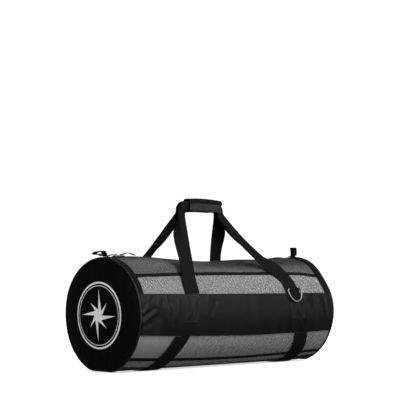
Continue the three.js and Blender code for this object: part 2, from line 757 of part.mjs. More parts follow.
function dRing(name, x, side) {
  const bar = ringPlace(x, side, 0, barLevel);
  const foot = ringPlace(x, side, ringDrop, tabSeat + ringTabWall + 2 * facetGap + ringWire);
  const down = foot.clone().sub(bar).normalize();
  const acrossWay = new THREE.Vector3(1, 0, 0);
  const outward = down.clone().cross(acrossWay).normalize();
  const bowSteps = 16;
  const bow = shares(bowSteps).map((t) => {
    const turn = t * Math.PI;
    return [ringHalfWidth * Math.cos(turn), ringDrop * Math.sin(turn) ** 0.8];
  });
  const outline = [...bow.slice(1, -1), [-ringHalfWidth, 2.5], [-ringHalfWidth + 2.5, 0], [0, 0]];
  outline.push([ringHalfWidth - 2.5, 0], [ringHalfWidth, 2.5]);
  const count = outline.length;
  const rings = outline.map(([across, below], i) => {
    const before = outline[(i + count - 1) % count];
    const after = outline[(i + 1) % count];
    const along = new THREE.Vector2(after[0] - before[0], after[1] - before[1]).normalize();
    const centre = bar.clone().addScaledVector(acrossWay, across).addScaledVector(down, below);
    const radial = acrossWay.clone().multiplyScalar(-along.y).addScaledVector(down, along.x);
    return between(0, 360, 8)
      .slice(0, -1)
      .map((turn) =>
        centre
          .clone()
          .addScaledVector(radial, ringWire * Math.cos(radians(turn)))
          .addScaledVector(outward, -ringWire * Math.sin(radians(turn))),
      );
  });
  addPiece(name, "steel", ringSolid(rings));
}

const ringPlaces = {
  front: [handleShift + legSpacing / 2 + 4, 1],
  rear: [handleShift - legSpacing / 2 - 4, -1],
};
for (const [face, [x, side]] of Object.entries(ringPlaces)) {
  ringTab(`ring_tab_${face}`, x, side);
  dRing(`d_ring_${face}`, x, side);
}

// The webbing loops at the zip's ends. End is -1 at the near end and 1 at the far end.
function endTab(name, end, rows) {
  const seat = bindingProud + fitGap + tapeWall + fitGap + endTabWall / 2;
  const rim = levelPoint(end * panelEnd, 0, seat);
  const course = rows.map(({ out, up }) =>
    rim.clone().add(new THREE.Vector3(end * out * endTabHeight, 0, up * endTabHeight)),
  );
  const curve = new THREE.CatmullRomCurve3(course, false, "centripetal");
  const stations = shares(14).map((t) => {
    const point = curve.getPoint(t);
    const normal = curve.getTangent(t).cross(new THREE.Vector3(0, end, 0)).multiplyScalar(-endTabWall / 2);
    return [-endTabWidth / 2, endTabWidth / 2].map((across) => {
      const middle = point.clone().add(new THREE.Vector3(0, end * across, 0));
      return { outer: middle.clone().add(normal), inner: middle.clone().sub(normal) };
    });
  });
  addPiece(name, "webbing", sheetSolid(stations));
}
endTab("end_tab_near", -1, endTabs.near);
endTab("end_tab_far", 1, endTabs.far);

// The sliders straddle the chain, and each holds a woven pull under a small arch.
const wasm = await Module();
wasm.setup();

function solidOf(geometry) {
  const bare = geometry.clone().deleteAttribute("normal").deleteAttribute("uv");
  const merged = mergeVertices(bare, 1e-4);
  const { array } = merged.attributes.position;
  return new wasm.Manifold(
    new wasm.Mesh({ numProp: 3, vertProperties: array, triVerts: new Uint32Array(merged.index.array) }),
  );
}

function geometryOf(solid) {
  const { vertProperties, triVerts } = solid.getMesh();
  const made = new THREE.BufferGeometry();
  made.setAttribute("position", new THREE.Float32BufferAttribute(vertProperties, 3));
  made.setIndex(new THREE.Uint32BufferAttribute(triVerts, 1));
  return made;
}

// An outline in the YZ plane made solid along X, centred on the middle.
function alongX(outline, length, hole) {
  const shape = new THREE.Shape(outline.map(([y, z]) => new THREE.Vector2(y, z)));
  if (hole) shape.holes.push(new THREE.Path(hole.map(([y, z]) => new THREE.Vector2(y, z))));
  const made = new THREE.ExtrudeGeometry(shape, { depth: length, bevelEnabled: false });
  made.translate(0, 0, -length / 2);
  made.rotateY(Math.PI / 2);
  return made.rotateX(Math.PI / 2);
}

const archHeight = pullWall + 2.8;

function slider(name, x) {
  const half = sliderWidth / 2;
  const innerHalf = half - sliderWall;
  const roof = chainProud + facetGap;
  const top = roof + sliderWall;
  const body = solidOf(
    alongX(
      [
        [-half, facetGap],
        [-half, top],
        [half, top],
        [half, facetGap],
        [innerHalf, facetGap],
        [innerHalf, roof],
        [-innerHalf, roof],
        [-innerHalf, facetGap],
      ],
      sliderLength,
    ),
  );
  const archHalf = half - 0.4;
  const archTop = top + archHeight;
  const eyeHalf = pullWidth / 2 + 0.4;
  const eyeFloor = top + 0.1;
  const eyeTop = top + pullWall + 1.3;
  const arch = solidOf(
    alongX(
      [[-archHalf, top - 0.5], [archHalf, top - 0.5], [archHalf, archTop], [-archHalf, archTop]],
      3,
      [[-eyeHalf, eyeFloor], [eyeHalf, eyeFloor], [eyeHalf, eyeTop], [-eyeHalf, eyeTop]],
    ),
  );
  const seat = facePoint(x, 0);
  addPiece(name, "zip", geometryOf(body.add(arch)).translate(x, 0, seat.z));
  return seat.z + top;
}

function zipPull(name, { at, points, length, arch, droop }, floor) {
  const tail = 4;
  const rise = 0.5 + pullWall / 2;
  const stations = shares(12).map((t) => {
    const run = -tail + t * (tail + length);
    const lifted = arch * length * Math.sin(Math.PI * Math.max(0, run / length)) ** 1.5;
    const sink = droop * Math.max(0, run - 10);
    const z = floor + rise + lifted - sink;
    return [-pullWidth / 2, pullWidth / 2].map((across) => ({
      outer: new THREE.Vector3(at + points * run, -points * across, z + pullWall / 2),
      inner: new THREE.Vector3(at + points * run, -points * across, z - pullWall / 2),
    }));
  });
  addPiece(name, "webbing", sheetSolid(stations));
}

for (const pull of zipPulls) {
  const floor = slider(`zip_slider_${pull.name}`, pull.at);
  zipPull(`zip_pull_${pull.name}`, pull, floor);
}

// The origin is on the floor under the middle of the bag's box.
const reach = new THREE.Box3().setFromObject(bag);
bag.position.set(-(reach.min.x + reach.max.x) / 2, -(reach.min.y + reach.max.y) / 2, 0);

export default bag;
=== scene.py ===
import bpy
import numpy as np
from math import cos, pi, radians, sin, sqrt
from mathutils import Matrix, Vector


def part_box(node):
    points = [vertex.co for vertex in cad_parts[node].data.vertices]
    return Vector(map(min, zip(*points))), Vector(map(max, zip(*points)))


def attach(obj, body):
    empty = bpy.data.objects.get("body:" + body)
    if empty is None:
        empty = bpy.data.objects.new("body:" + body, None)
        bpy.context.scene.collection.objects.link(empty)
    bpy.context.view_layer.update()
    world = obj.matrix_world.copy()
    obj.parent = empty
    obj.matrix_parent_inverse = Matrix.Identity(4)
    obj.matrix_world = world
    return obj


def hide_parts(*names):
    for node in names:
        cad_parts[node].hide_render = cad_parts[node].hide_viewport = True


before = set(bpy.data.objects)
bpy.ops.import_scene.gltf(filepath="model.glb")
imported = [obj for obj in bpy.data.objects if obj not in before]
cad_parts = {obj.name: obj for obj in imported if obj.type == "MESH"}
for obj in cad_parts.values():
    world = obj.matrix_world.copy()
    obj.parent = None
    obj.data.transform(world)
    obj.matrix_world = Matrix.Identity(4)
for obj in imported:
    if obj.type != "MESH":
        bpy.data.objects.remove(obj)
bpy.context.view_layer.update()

scene = bpy.context.scene

# camera, light and floor
studio = {
    "cameraAt": (-3.0646, -3.1799, 0.3115),
    "turn": -43.866,          # degrees from +Y, the camera is level
    "lens": 142.54,
    "sensor": 36,
    "shift": 0.1347,
    "pictureSize": 400,       # pixels, as the photo
    "backdrop": 1.1,          # what the camera sees behind the bag
    "ambient": 0.13,          # what lights the bag from all round
}
lamps = {  # place, what it aims at, its two sizes and watts
    "overhead": ((0.3, 0.3, 2.6), (0, 0, 0.1), (2.4, 1.6), 12),
    "frontSoftbox": ((0.9, -2.3, 1.9), (0.0, 0, 0.15), (2.6, 1.6), 105),
    "floorBounce": ((0.5, -1.7, 0.2), (0.0, 0, 0.1), (2.6, 0.3), 13),
    "leftFill": ((-2.6, -0.6, 1.0), (-0.2, 0, 0.15), (1.0, 1.4), 30),
    "rearFill": ((1.4, 2.4, 1.2), (0.0, 0, 0.15), (2.2, 1.4), 30),
}


def areaLight(name, place, aim, size, watts):
    bpy.ops.object.light_add(type="AREA", location=place)
    lamp = bpy.context.object
    lamp.name = name
    lamp.data.shape = "RECTANGLE"
    lamp.data.size, lamp.data.size_y = size
    lamp.data.energy = watts
    lamp.rotation_euler = (Vector(aim) - Vector(place)).to_track_quat("-Z", "Y").to_euler()


bpy.ops.object.select_all(action="DESELECT")
bpy.ops.object.camera_add(location=studio["cameraAt"], rotation=(radians(90), 0, radians(studio["turn"])))
camera = bpy.context.object
camera.name = "camera"
camera.data.lens = studio["lens"]
camera.data.sensor_width = studio["sensor"]
camera.data.shift_y = studio["shift"]
camera.data.clip_end = 200
scene.camera = camera

for lampName, lampValues in lamps.items():
    areaLight(lampName, *lampValues)

scene.view_settings.view_transform = "Standard"
scene.world = scene.world or bpy.data.worlds.new("studio")
scene.world.use_nodes = True
sky = scene.world.node_tree
backdrop = sky.nodes["Background"]
backdrop.inputs["Color"].default_value = (1, 1, 1, 1)
seen = sky.nodes.new("ShaderNodeLightPath")
level = sky.nodes.new("ShaderNodeMapRange")
level.inputs["To Min"].default_value = studio["ambient"]
level.inputs["To Max"].default_value = studio["backdrop"]
sky.links.new(seen.outputs["Is Camera Ray"], level.inputs["Value"])
sky.links.new(level.outputs["Result"], backdrop.inputs["Strength"])
print("camera and lights")


# shader helpers
class Wire:
    def __init__(self, board, socket):
        self.board = board
        self.socket = socket

    def __add__(self, other):
        return self.board.maths("ADD", self, other)

    def __sub__(self, other):
        return self.board.maths("SUBTRACT", self, other)

    def __rsub__(self, other):
        return self.board.maths("SUBTRACT", other, self)

    def __mul__(self, other):
        return self.board.maths("MULTIPLY", self, other)


class Board:
    def __init__(self, name, **looks):
        self.material = bpy.data.materials.new(name)
        self.material.use_nodes = True
        self.tree = self.material.node_tree
        self.shader = self.tree.nodes["Principled BSDF"]
        for socket, value in looks.items():
            self.shader.inputs[socket.replace("_", " ")].default_value = value

    def node(self, kind, settings=None, inputs=None, out=0):
        made = self.tree.nodes.new(kind)
        for key, value in (settings or {}).items():
            setattr(made, key, value)
        for key, value in (inputs or {}).items():
            if isinstance(value, Wire):
                self.tree.links.new(value.socket, made.inputs[key])
            else:
                made.inputs[key].default_value = value
        return Wire(self, made.outputs[out])

    def maths(self, operation, *values):
        return self.node("ShaderNodeMath", {"operation": operation}, dict(enumerate(values)))

    def feed(self, socket, wire):
        self.tree.links.new(wire.socket, self.shader.inputs[socket])

    def clothPlace(self):                       # the piece's own map, in metres
        return self.node("ShaderNodeUVMap", {"uv_map": "UVMap"})

    def objectPlace(self):
        return self.node("ShaderNodeTexCoord", None, None, 3)

    def split(self, place):                     # the two directions of a piece's map
        parts = self.node("ShaderNodeSeparateXYZ", None, {0: place})
        return [Wire(self, socket) for socket in parts.socket.node.outputs[:2]]

    def scaled(self, place, scale):
        return self.node("ShaderNodeVectorMath", {"operation": "MULTIPLY"}, {0: place, 1: scale})

    def noise(self, place, scale, detail=2.0, roughness=0.5):
        return self.node("ShaderNodeTexNoise", None,
                         {"Vector": place, "Scale": scale, "Detail": detail, "Roughness": roughness})

    def ramped(self, value, low, high):         # 0 below low, 1 above high, soft between
        return self.node("ShaderNodeMapRange", {"interpolation_type": "SMOOTHSTEP"},
                         {"Value": value, "From Min": low, "From Max": high})

    def stripes(self, value, pitch):            # 1 at the middle of each stripe, 0 between
        return self.maths("COSINE", value * (2 * pi / pitch)) * 0.5 + 0.5

    def colours(self, mask, first, second, blend="MIX"):
        first, second = (end if isinstance(end, Wire) else (*end, 1) for end in (first, second))
        return self.node("ShaderNodeMix", {"data_type": "RGBA", "blend_type": blend},
                         {0: mask, 6: first, 7: second}, 2)

    def bumped(self, height, distance, strength=1.0, normal=None):
        inputs = {"Height": height, "Distance": distance, "Strength": strength}
        if normal:
            inputs["Normal"] = normal
        return self.node("ShaderNodeBump", None, inputs)


# finishes
netLook = {"pitch": 0.0040, "strandShare": 0.2, "strand": (0.028, 0.028, 0.03), "inside": (0.68, 0.68, 0.68),
           "warp": 0.0014, "warpScale": 70.0, "patchScale": 150.0, "patchShare": 0.45}
stitchLook = {"halfWidth": 0.0007, "pitch": 0.0032, "gapShare": 0.18, "thread": (0.03, 0.03, 0.031)}
compassLook = {  # rings by radius and half breadth, stars by their tips' and valleys' radius
    "outerRing": (0.086, 0.0024), "innerRing": (0.078, 0.0008),
    "longStar": (0.068, 0.017), "shortStar": (0.046, 0.015), "ink": (0.88, 0.88, 0.88),
}
floorLook = {"size": 60.0, "shade": (0.93, 0.93, 0.93), "glowFrom": 0.35, "glowTo": 1.6,
             "nearGlow": (0.62, 0.62, 0.62), "farGlow": (1.0, 1.0, 1.0)}


def tinted(shade, factor):
    return tuple(min(c * factor, 1.0) for c in shade)


def netMaterial():
    board = Board("netStrands", Roughness=0.75)
    place = board.clothPlace()
    pulled = board.node("ShaderNodeTexNoise", None,
                        {"Vector": place, "Scale": netLook["warpScale"], "Detail": 1.0}, 1)
    pulled = board.node("ShaderNodeVectorMath", {"operation": "MULTIPLY_ADD"},
                        {0: pulled, 1: (netLook["warp"],) * 3, 2: place})
    along, around = board.split(pulled)
    turned = pi / (netLook["pitch"] * sqrt(2))
    first = board.maths("COSINE", (along + around) * turned)
    second = board.maths("COSINE", (along - around) * turned)
    openness = board.maths("ABSOLUTE", first * second)
    patchy = board.noise(board.clothPlace(), netLook["patchScale"], 3.0, 0.7) - 0.5
    edge = openness + patchy * netLook["patchShare"]
    strand = 1 - board.ramped(edge, netLook["strandShare"] - 0.05, netLook["strandShare"] + 0.07)
    board.feed("Alpha", strand)
    shade = board.ramped(board.noise(board.clothPlace(), 9.0), 0.3, 0.7)
    board.feed("Base Color", board.colours(shade, netLook["strand"], tinted(netLook["strand"], 1.6)))
    board.feed("Normal", board.bumped(1 - openness, 0.0006, 0.6))
    return board.material


def insideMaterial(name, paintedLight=1.0, paintedShade=None):
    board = Board(name, Roughness=0.9, Specular_IOR_Level=0.1)
    place = board.clothPlace()
    patchy = board.ramped(board.noise(place, 70.0, 4.0, 0.6), 0.25, 0.75)
    speckled = board.ramped(board.noise(place, 190.0, 2.0, 0.7), 0.35, 0.65)
    pale = netLook["inside"]
    mottled = patchy * 0.3 + speckled * 0.7
    # a factor above 1 paints light into the inside's colour
    shade = board.colours(mottled, tinted(pale, paintedLight * 0.32), tinted(pale, paintedLight * 1.35))
    if paintedShade:                                    # painted shade: the inside is darker beside the zip, where the filling falls away from the net into the dark; the dark strip reaches further down from the middle to the far end
        along, around = board.split(place)
        wander = (board.noise(place, 12.0, 2.0) - 0.5) * 0.06
        sunk = board.ramped(along, -0.22, -0.08) * 0.05
        shadeMask = board.ramped(around + wander - sunk, 0.005, 0.062)
        shadeColour = board.colours(shadeMask, (paintedShade[0],) * 3, (paintedShade[1],) * 3)
        shade = board.colours(1.0, shade, shadeColour, "MULTIPLY")
    board.feed("Base Color", shade)
    board.feed("Normal", board.bumped(board.noise(place, 35.0, 3.0), 0.003, 0.6))
    return board.material


def stitchMask(board, along, around, lines):
    # 1 on the threads of straight seams, each given by its two ends on the piece's map
    mask = None
    for fromAlong, fromAround, toAlong, toAround in lines:
        runAlong, runAround = toAlong - fromAlong, toAround - fromAround
        length = sqrt(runAlong ** 2 + runAround ** 2)
        wayAlong, wayAround = runAlong / length, runAround / length
        ahead = (along - fromAlong) * wayAlong + (around - fromAround) * wayAround
        beside = (along - fromAlong) * wayAround - (around - fromAround) * wayAlong
        threads = board.stripes(ahead, stitchLook["pitch"])
        inside = (board.maths("GREATER_THAN", ahead, 0.0) * board.maths("LESS_THAN", ahead, length)
                  * board.maths("LESS_THAN", board.maths("ABSOLUTE", beside), stitchLook["halfWidth"])
                  * board.maths("GREATER_THAN", threads, stitchLook["gapShare"]))
        mask = board.maths("MAXIMUM", mask, inside) if mask else inside
    return mask


def compassMask(board, along, around):
    # a generic compass rose in a double ring, drawn about the cap's middle
    reach = board.maths("SQRT", along * along + around * around)
    turn = board.maths("ARCTAN2", around, along)

    def star(turned, tip, valley):
        folded = board.maths("PINGPONG", turned, pi / 4)
        edge = (board.maths("SINE", folded) * tip
                + board.maths("SINE", (folded * -1.0) + pi / 4) * valley)
        inStar = board.maths("LESS_THAN", reach * edge, tip * valley * sin(pi / 4))
        return inStar * board.maths("LESS_THAN", board.maths("MODULO", turned, pi / 2), pi / 4)

    def ring(middle, halfBreadth):
        return board.maths("LESS_THAN", board.maths("ABSOLUTE", reach - middle), halfBreadth)

    rings = board.maths("MAXIMUM", ring(*compassLook["outerRing"]), ring(*compassLook["innerRing"]))
    stars = board.maths("MAXIMUM", star(turn + 2 * pi, *compassLook["longStar"]),
                        star(turn + 2.25 * pi, *compassLook["shortStar"]))
    return board.maths("MAXIMUM", rings, stars)


def nylonMaterial(name, shade, roughness, gloss, creases=0.5, stitched=(), printed=False):
    board = Board(name, Roughness=roughness, Specular_IOR_Level=gloss)
    place = board.clothPlace()
    along, around = board.split(place)
    weave = board.stripes(along, 0.0011) * board.stripes(around, 0.0011)
    soft = board.noise(board.scaled(place, (1.0, 0.45, 1.0)), 28.0, 4.0, 0.55)
    # the colour follows the same soft noise as the wrinkles: random tone, with painted shade in the wrinkles'
    # hollows and lighter ridges
    tone = board.ramped(soft, 0.3, 0.75)
    colour = board.colours(tone, tinted(shade, 0.8), tinted(shade, 1.25))
    wrinkles = board.bumped(soft, 0.006, creases)
    if stitched:
        thread = stitchMask(board, along, around, stitched)
        colour = board.colours(thread, colour, stitchLook["thread"])
        wrinkles = board.bumped(thread, 0.0004, 0.8, wrinkles)
    if printed:
        ink = compassMask(board, along, around)
        colour = board.colours(ink, colour, compassLook["ink"])
    board.feed("Base Color", colour)
    board.feed("Roughness", tone * 0.12 + (roughness - 0.06))
    board.feed("Normal", board.bumped(weave, 0.00015, 0.5, wrinkles))
    return board.material


def webbingMaterial(name, shade, rib=0.0022):
    board = Board(name, Roughness=0.8, Specular_IOR_Level=0.08)
    place = board.clothPlace()
    across, along = board.split(place)
    ribs = board.stripes(across, rib)
    picks = board.stripes(along + board.maths("PINGPONG", across, rib) * 0.8, 0.0013)
    weave = ribs * 0.7 + picks * 0.3
    tone = board.ramped(weave + board.noise(place, 240.0, 2.0) * 0.6, 0.35, 1.3)
    board.feed("Base Color", board.colours(tone, tinted(shade, 0.55), tinted(shade, 1.35)))
    board.feed("Roughness", 0.88 - tone * 0.16)
    worn = board.bumped(board.noise(place, 60.0, 3.0), 0.0015, 0.4)
    board.feed("Normal", board.bumped(weave, 0.0004, 0.8, worn))
    return board.material


def tapeMaterial(name, shade, rib=0.0016):
    board = Board(name, Roughness=0.85, Specular_IOR_Level=0.08)
    place = board.clothPlace()
    along, around = board.split(place)
    zigzag = along + board.maths("PINGPONG", around, 0.004)
    ribs = board.stripes(zigzag, rib)
    board.feed("Base Color", board.colours(ribs, tinted(shade, 0.6), tinted(shade, 1.3)))
    lumpy = board.bumped(board.noise(place, 80.0, 2.0), 0.002, 0.5)
    board.feed("Normal", board.bumped(ribs, 0.0005, 0.8, lumpy))
    return board.material


def metalMaterial():
    board = Board("ringMetal", Metallic=1.0, Roughness=0.3)
    place = board.objectPlace()
    smears = board.ramped(board.noise(place, 90.0, 3.0), 0.3, 0.8)
    board.feed("Base Color", board.colours(smears, (0.16, 0.163, 0.166), (0.24, 0.243, 0.246)))
    board.feed("Roughness", smears * 0.14 + 0.26)
    return board.material


def mouldedMaterial(name, shade, roughness):
    board = Board(name, Roughness=roughness)
    place = board.objectPlace()
    rubbed = board.ramped(board.noise(place, 400.0, 3.0), 0.3, 0.75)
    board.feed("Base Color", board.colours(rubbed, shade, tinted(shade, 1.7)))
    board.feed("Roughness", rubbed * 0.15 + (roughness - 0.07))
    board.feed("Normal", board.bumped(rubbed, 0.0002, 0.3))
    return board.material


def floorMaterial():
    board = Board("paleFloor", Roughness=0.9, Emission_Strength=1.0)
    board.shader.inputs["Base Color"].default_value = (*floorLook["shade"], 1)
    place = board.objectPlace()
    away = board.node("ShaderNodeVectorMath", {"operation": "LENGTH"}, {0: place}, 1)
    far = board.ramped(away, floorLook["glowFrom"], floorLook["glowTo"])
    board.feed("Emission Color", board.colours(far, floorLook["nearGlow"], floorLook["farGlow"]))
    return board.material


# the barrel's surface, as the CAD has it; x runs from the middle of the barrel
barrel = {
    "length": 0.742,
    "radius": 0.1525,
    "sag": 0.0063,
    "sagBlend": 0.003,
    "lowest": 0.0036,
    "panelEnd": 0.3682,
    "nearTape": 0.015,
    "farTape": 0.020,
    "halfBinding": 0.004,
    "fitGap": 0.0003,
}
topLine = (
    (0.0, -0.008), (0.1, 0.007), (0.2, -0.003), (0.34, -0.049), (0.5, -0.087),
    (0.67, -0.058), (0.83, -0.05), (0.9, -0.016), (0.95, -0.03), (1.0, -0.01),
)
dents = (      # along, degrees from the top, depth, length, breadth
    (0.97, 52, 0.055, 0.08, 20), (0.6, 26, 0.035, 0.1, 13), (0.77, 20, 0.03, 0.06, 12),
    (0.45, 33, -0.02, 0.14, 10), (0.07, 92, 0.035, 0.045, 12), (0.13, 84, -0.015, 0.05, 14),
    (0.5, 125, -0.025, 0.2, 18), (0.9, 96, -0.015, 0.06, 16), (0.3, -30, 0.03, 0.1, 14),
    (0.62, -26, 0.035, 0.12, 14), (0.5, -124, -0.02, 0.2, 18), (0.05, -90, 0.03, 0.05, 16),
)
seamLines = {  # degrees from the top at the near end, the middle and the far end
    "zip": (0, 0, 0),
    "upper": (46.5, 44.5, 47),
    "bandTop": (67.5, 69.8, 70.9),
    "bandMiddle": (88, 90.5, 91.5),
    "bandBottom": (108, 112.5, 112),
    "lower": (137, 144, 140),
    "base": (151, 160, 148),
}
shiftX = (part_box("piping_near")[0].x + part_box("piping_far")[1].x) / 2
axisHeight = barrel["radius"] - barrel["sag"] + barrel["lowest"]

# the crossed boxes on the bands: their corners' distance from the handles' middle, and degrees from the top
stitchBox = {"handleMiddle": 0.013, "top": 70.5, "topOuter": 0.222, "topInner": 0.173,
             "foot": 96.0, "footInner": 0.186, "footOuter": 0.231}
cornerNames = (("topOuter", "top"), ("topInner", "top"), ("footInner", "foot"), ("footOuter", "foot"))
bandStitches = []
for end in (-1, 1):
    boxCorners = [
        (stitchBox["handleMiddle"] + end * stitchBox[corner], radians(stitchBox[level]) * barrel["radius"])
        for corner, level in cornerNames
    ]
    for k, other in ((0, 1), (1, 2), (2, 3), (3, 0), (0, 2), (1, 3)):
        bandStitches.append((*boxCorners[k], *boxCorners[other]))
finish = {
    "net": netMaterial(),
    "inside": insideMaterial("netInside"),
    # a brighter copy of the inside: painted light on the belly and base panels, standing in for light from
    # below
    "insidePaintedLight": insideMaterial("netInsidePaintedLight", 1.9),
    # a copy of the inside with painted shade beside the zip
    "insidePaintedShade": insideMaterial("netInsidePaintedShade", paintedShade=(0.02, 0.33)),
    "band": nylonMaterial("bandNylon", (0.0042, 0.0042, 0.0044), 0.45, 0.08, 0.35, stitched=bandStitches),
    "base": nylonMaterial("baseNylon", (0.005, 0.005, 0.0052), 0.5, 0.1),
    "cap": nylonMaterial("capNylon", (0.0022, 0.0022, 0.0023), 0.5, 0.06, 0.9),
    "capPrinted": nylonMaterial("capPrinted", (0.0022, 0.0022, 0.0023), 0.5, 0.06, 0.9, printed=True),
    "flap": nylonMaterial("flapNylon", (0.002, 0.002, 0.0021), 0.5, 0.05),
    "grip": nylonMaterial("gripNylon", (0.015, 0.015, 0.0154), 0.5, 0.14, 0.9),
    "webbing": webbingMaterial("webbing", (0.0042, 0.0042, 0.0044)),
    "binding": tapeMaterial("binding", (0.003, 0.003, 0.0032)),
    # the piping's colour is lighter than the other nylon: painted sheen along the piping, beside its real
    # gloss
    "piping": nylonMaterial("pipingNylonPaintedSheen", (0.008, 0.008, 0.0082), 0.4, 0.3),
    "endTape": tapeMaterial("endTape", (0.004, 0.004, 0.0042), 0.0024),
    "zipTape": tapeMaterial("zipTape", (0.004, 0.004, 0.0042), 0.0012),
    "zip": mouldedMaterial("zipNylon", (0.012, 0.012, 0.013), 0.4),
    "slider": mouldedMaterial("sliderPaint", (0.012, 0.012, 0.012), 0.3),
    "ring": metalMaterial(),
}
bpy.ops.mesh.primitive_plane_add(size=floorLook["size"], location=(0, 0, 0))
floor = bpy.context.object
floor.name = "floor"
floor.visible_glossy = False
floor.visible_diffuse = False
floor.data.materials.append(floorMaterial())
print("materials and floor")

def tableValue(rows, at, column=1):
    keys = np.array([row[0] for row in rows], float)
    values = np.array([row[column] for row in rows], float)
    slopes = np.gradient(values)
    slopes[1:-1] = (values[2:] - values[:-2]) / (keys[2:] - keys[:-2])
    slopes[0] = (values[1] - values[0]) / (keys[1] - keys[0])
    slopes[-1] = (values[-1] - values[-2]) / (keys[-1] - keys[-2])
    at = np.clip(at, keys[0], keys[-1])
    k = np.clip(np.searchsorted(keys, at, side="left") - 1, 0, len(rows) - 2)
    span = keys[k + 1] - keys[k]
    t = (at - keys[k]) / span
    return (values[k] * (1 + 2 * t) * (1 - t) ** 2 + slopes[k] * span * t * (1 - t) ** 2
            + values[k + 1] * t * t * (3 - 2 * t) + slopes[k + 1] * span * t * t * (t - 1))


def lineAngle(line, x):
    near, middle, far = seamLines[line]
    t = x / barrel["length"]
    return middle + (far - near) * t + 2 * (near + far - 2 * middle) * t * t


def arcAngle(width):
    return np.degrees(width / barrel["radius"])


def facePoint(x, angle):
    x, angle = np.broadcast_arrays(np.asarray(x, float), np.asarray(angle, float))
    angle = (angle + 180) % 360 - 180
    along = x / barrel["length"] + 0.5
    window = np.where(np.abs(angle) < 60, np.cos(np.radians(angle * 1.5)) ** 2, 0)
    share = 1 + tableValue(topLine, along) * window
    for at, degrees, depth, length, breadth in dents:
        away = ((along - at) / length) ** 2 + ((angle - degrees) / breadth) ** 2
        share = share - depth * np.exp(-away)
    radius = barrel["radius"] * share
    height = axisHeight - barrel["lowest"] + radius * np.cos(np.radians(angle))
    blend = barrel["sagBlend"]
    eased = np.where(height > -blend, (height + blend) ** 2 / (4 * blend), 0)
    sagged = np.where(height < blend, eased, height)
    return np.stack([x, -radius * np.sin(np.radians(angle)), barrel["lowest"] + sagged], -1)


def unit(vectors):
    return vectors / np.linalg.norm(vectors, axis=-1, keepdims=True)


def faceNormal(x, angle):
    step = 0.4
    around = facePoint(x, angle + step) - facePoint(x, angle - step)
    lengthways = facePoint(x + step / 1000, angle) - facePoint(x - step / 1000, angle)
    return unit(np.cross(around, lengthways))


def levelPoint(x, angle, level):
    x, angle, level = np.broadcast_arrays(*(np.asarray(v, float) for v in (x, angle, level)))
    return facePoint(x, angle) + faceNormal(x, angle) * level[..., None]


# cloth helpers: a grid primitive is laid over a surface, its map keeps its true size
def readPoints(mesh):
    flat = np.empty(len(mesh.vertices) * 3)
    mesh.vertices.foreach_get("co", flat)
    return flat.reshape(-1, 3)


def layMap(mesh, spread):
    corners = np.empty(len(mesh.loops), int)
    mesh.loops.foreach_get("vertex_index", corners)
    mesh.uv_layers[0].data.foreach_set("uv", spread[corners].ravel())
    mesh.uv_layers[0].name = "UVMap"


def editAll(operator, **settings):
    # one edit of the whole active piece
    bpy.ops.object.mode_set(mode="EDIT")
    bpy.ops.mesh.select_all(action="SELECT")
    operator(**settings)
    bpy.ops.object.mode_set(mode="OBJECT")


def runLengths(points):
    # how far along a line each of its points lies
    return np.concatenate([[0], np.cumsum(np.linalg.norm(np.diff(points, axis=0), axis=-1))])


def layGrid(name, stepsAlong, stepsAcross, place, turnOver=False):
    bpy.ops.object.select_all(action="DESELECT")
    bpy.ops.mesh.primitive_grid_add(x_subdivisions=stepsAlong, y_subdivisions=stepsAcross, size=1)
    piece = bpy.context.object
    piece.name = piece.data.name = name
    mesh = piece.data
    flat = readPoints(mesh)
    points, spread = place(flat[:, 0] + 0.5, flat[:, 1] + 0.5)
    mesh.vertices.foreach_set("co", (points + np.array([shiftX, 0, 0])).ravel())
    layMap(mesh, np.stack(np.broadcast_arrays(*spread), -1))
    if turnOver:
        editAll(bpy.ops.mesh.flip_normals)
    mesh.update()
    return piece


def withModifier(piece, kind, **settings):
    bpy.context.view_layer.objects.active = piece
    modifier = piece.modifiers.new(kind.lower(), kind)
    for key, value in settings.items():
        setattr(modifier, key, value)
    bpy.ops.object.modifier_apply(modifier=modifier.name)


def thicken(piece, wall, offset=-1, even=True):
    withModifier(piece, "SOLIDIFY", thickness=wall, offset=offset, use_even_offset=even)


def addTorus(name, around, across):
    # a ring of radius 1: its turns, and the places on its section outwards and sideways, from -1 to 1
    bpy.ops.object.select_all(action="DESELECT")
    thickness = 0.25
    bpy.ops.mesh.primitive_torus_add(major_segments=around, minor_segments=across, major_radius=1,
                                     minor_radius=thickness)
    piece = bpy.context.object
    piece.name = name
    flat = readPoints(piece.data)
    outwards = (np.hypot(flat[:, 0], flat[:, 1]) - 1) / thickness
    return piece, np.arctan2(flat[:, 1], flat[:, 0]), outwards, flat[:, 2] / thickness


def complete(piece, look, nodes=(), body="bag", corner=40):
    bpy.ops.object.select_all(action="DESELECT")
    piece.select_set(True)
    bpy.context.view_layer.objects.active = piece
    bpy.ops.object.shade_smooth_by_angle(angle=radians(corner))
    piece.data.materials.clear()
    piece.data.materials.append(finish[look])
    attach(piece, body)
    if nodes:
        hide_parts(*nodes)


def barrelSheet(name, side, edges, level, wall, steps, relief=None):
    (fromLine, fromOffset), (toLine, toOffset) = edges

    def place(u, v):
        x = barrel["panelEnd"] * (2 * u - 1)
        top = lineAngle(fromLine, x) + arcAngle(fromOffset)
        bottom = lineAngle(toLine, x) + arcAngle(toOffset)
        angle = top + (bottom - top) * v
        lift = level + (relief(x, angle, side) if relief else 0)
        return levelPoint(x, side * angle, lift), (x, np.radians(angle) * barrel["radius"])

    piece = layGrid(name, *steps, place, turnOver=side > 0)
    thicken(piece, wall)
    return piece


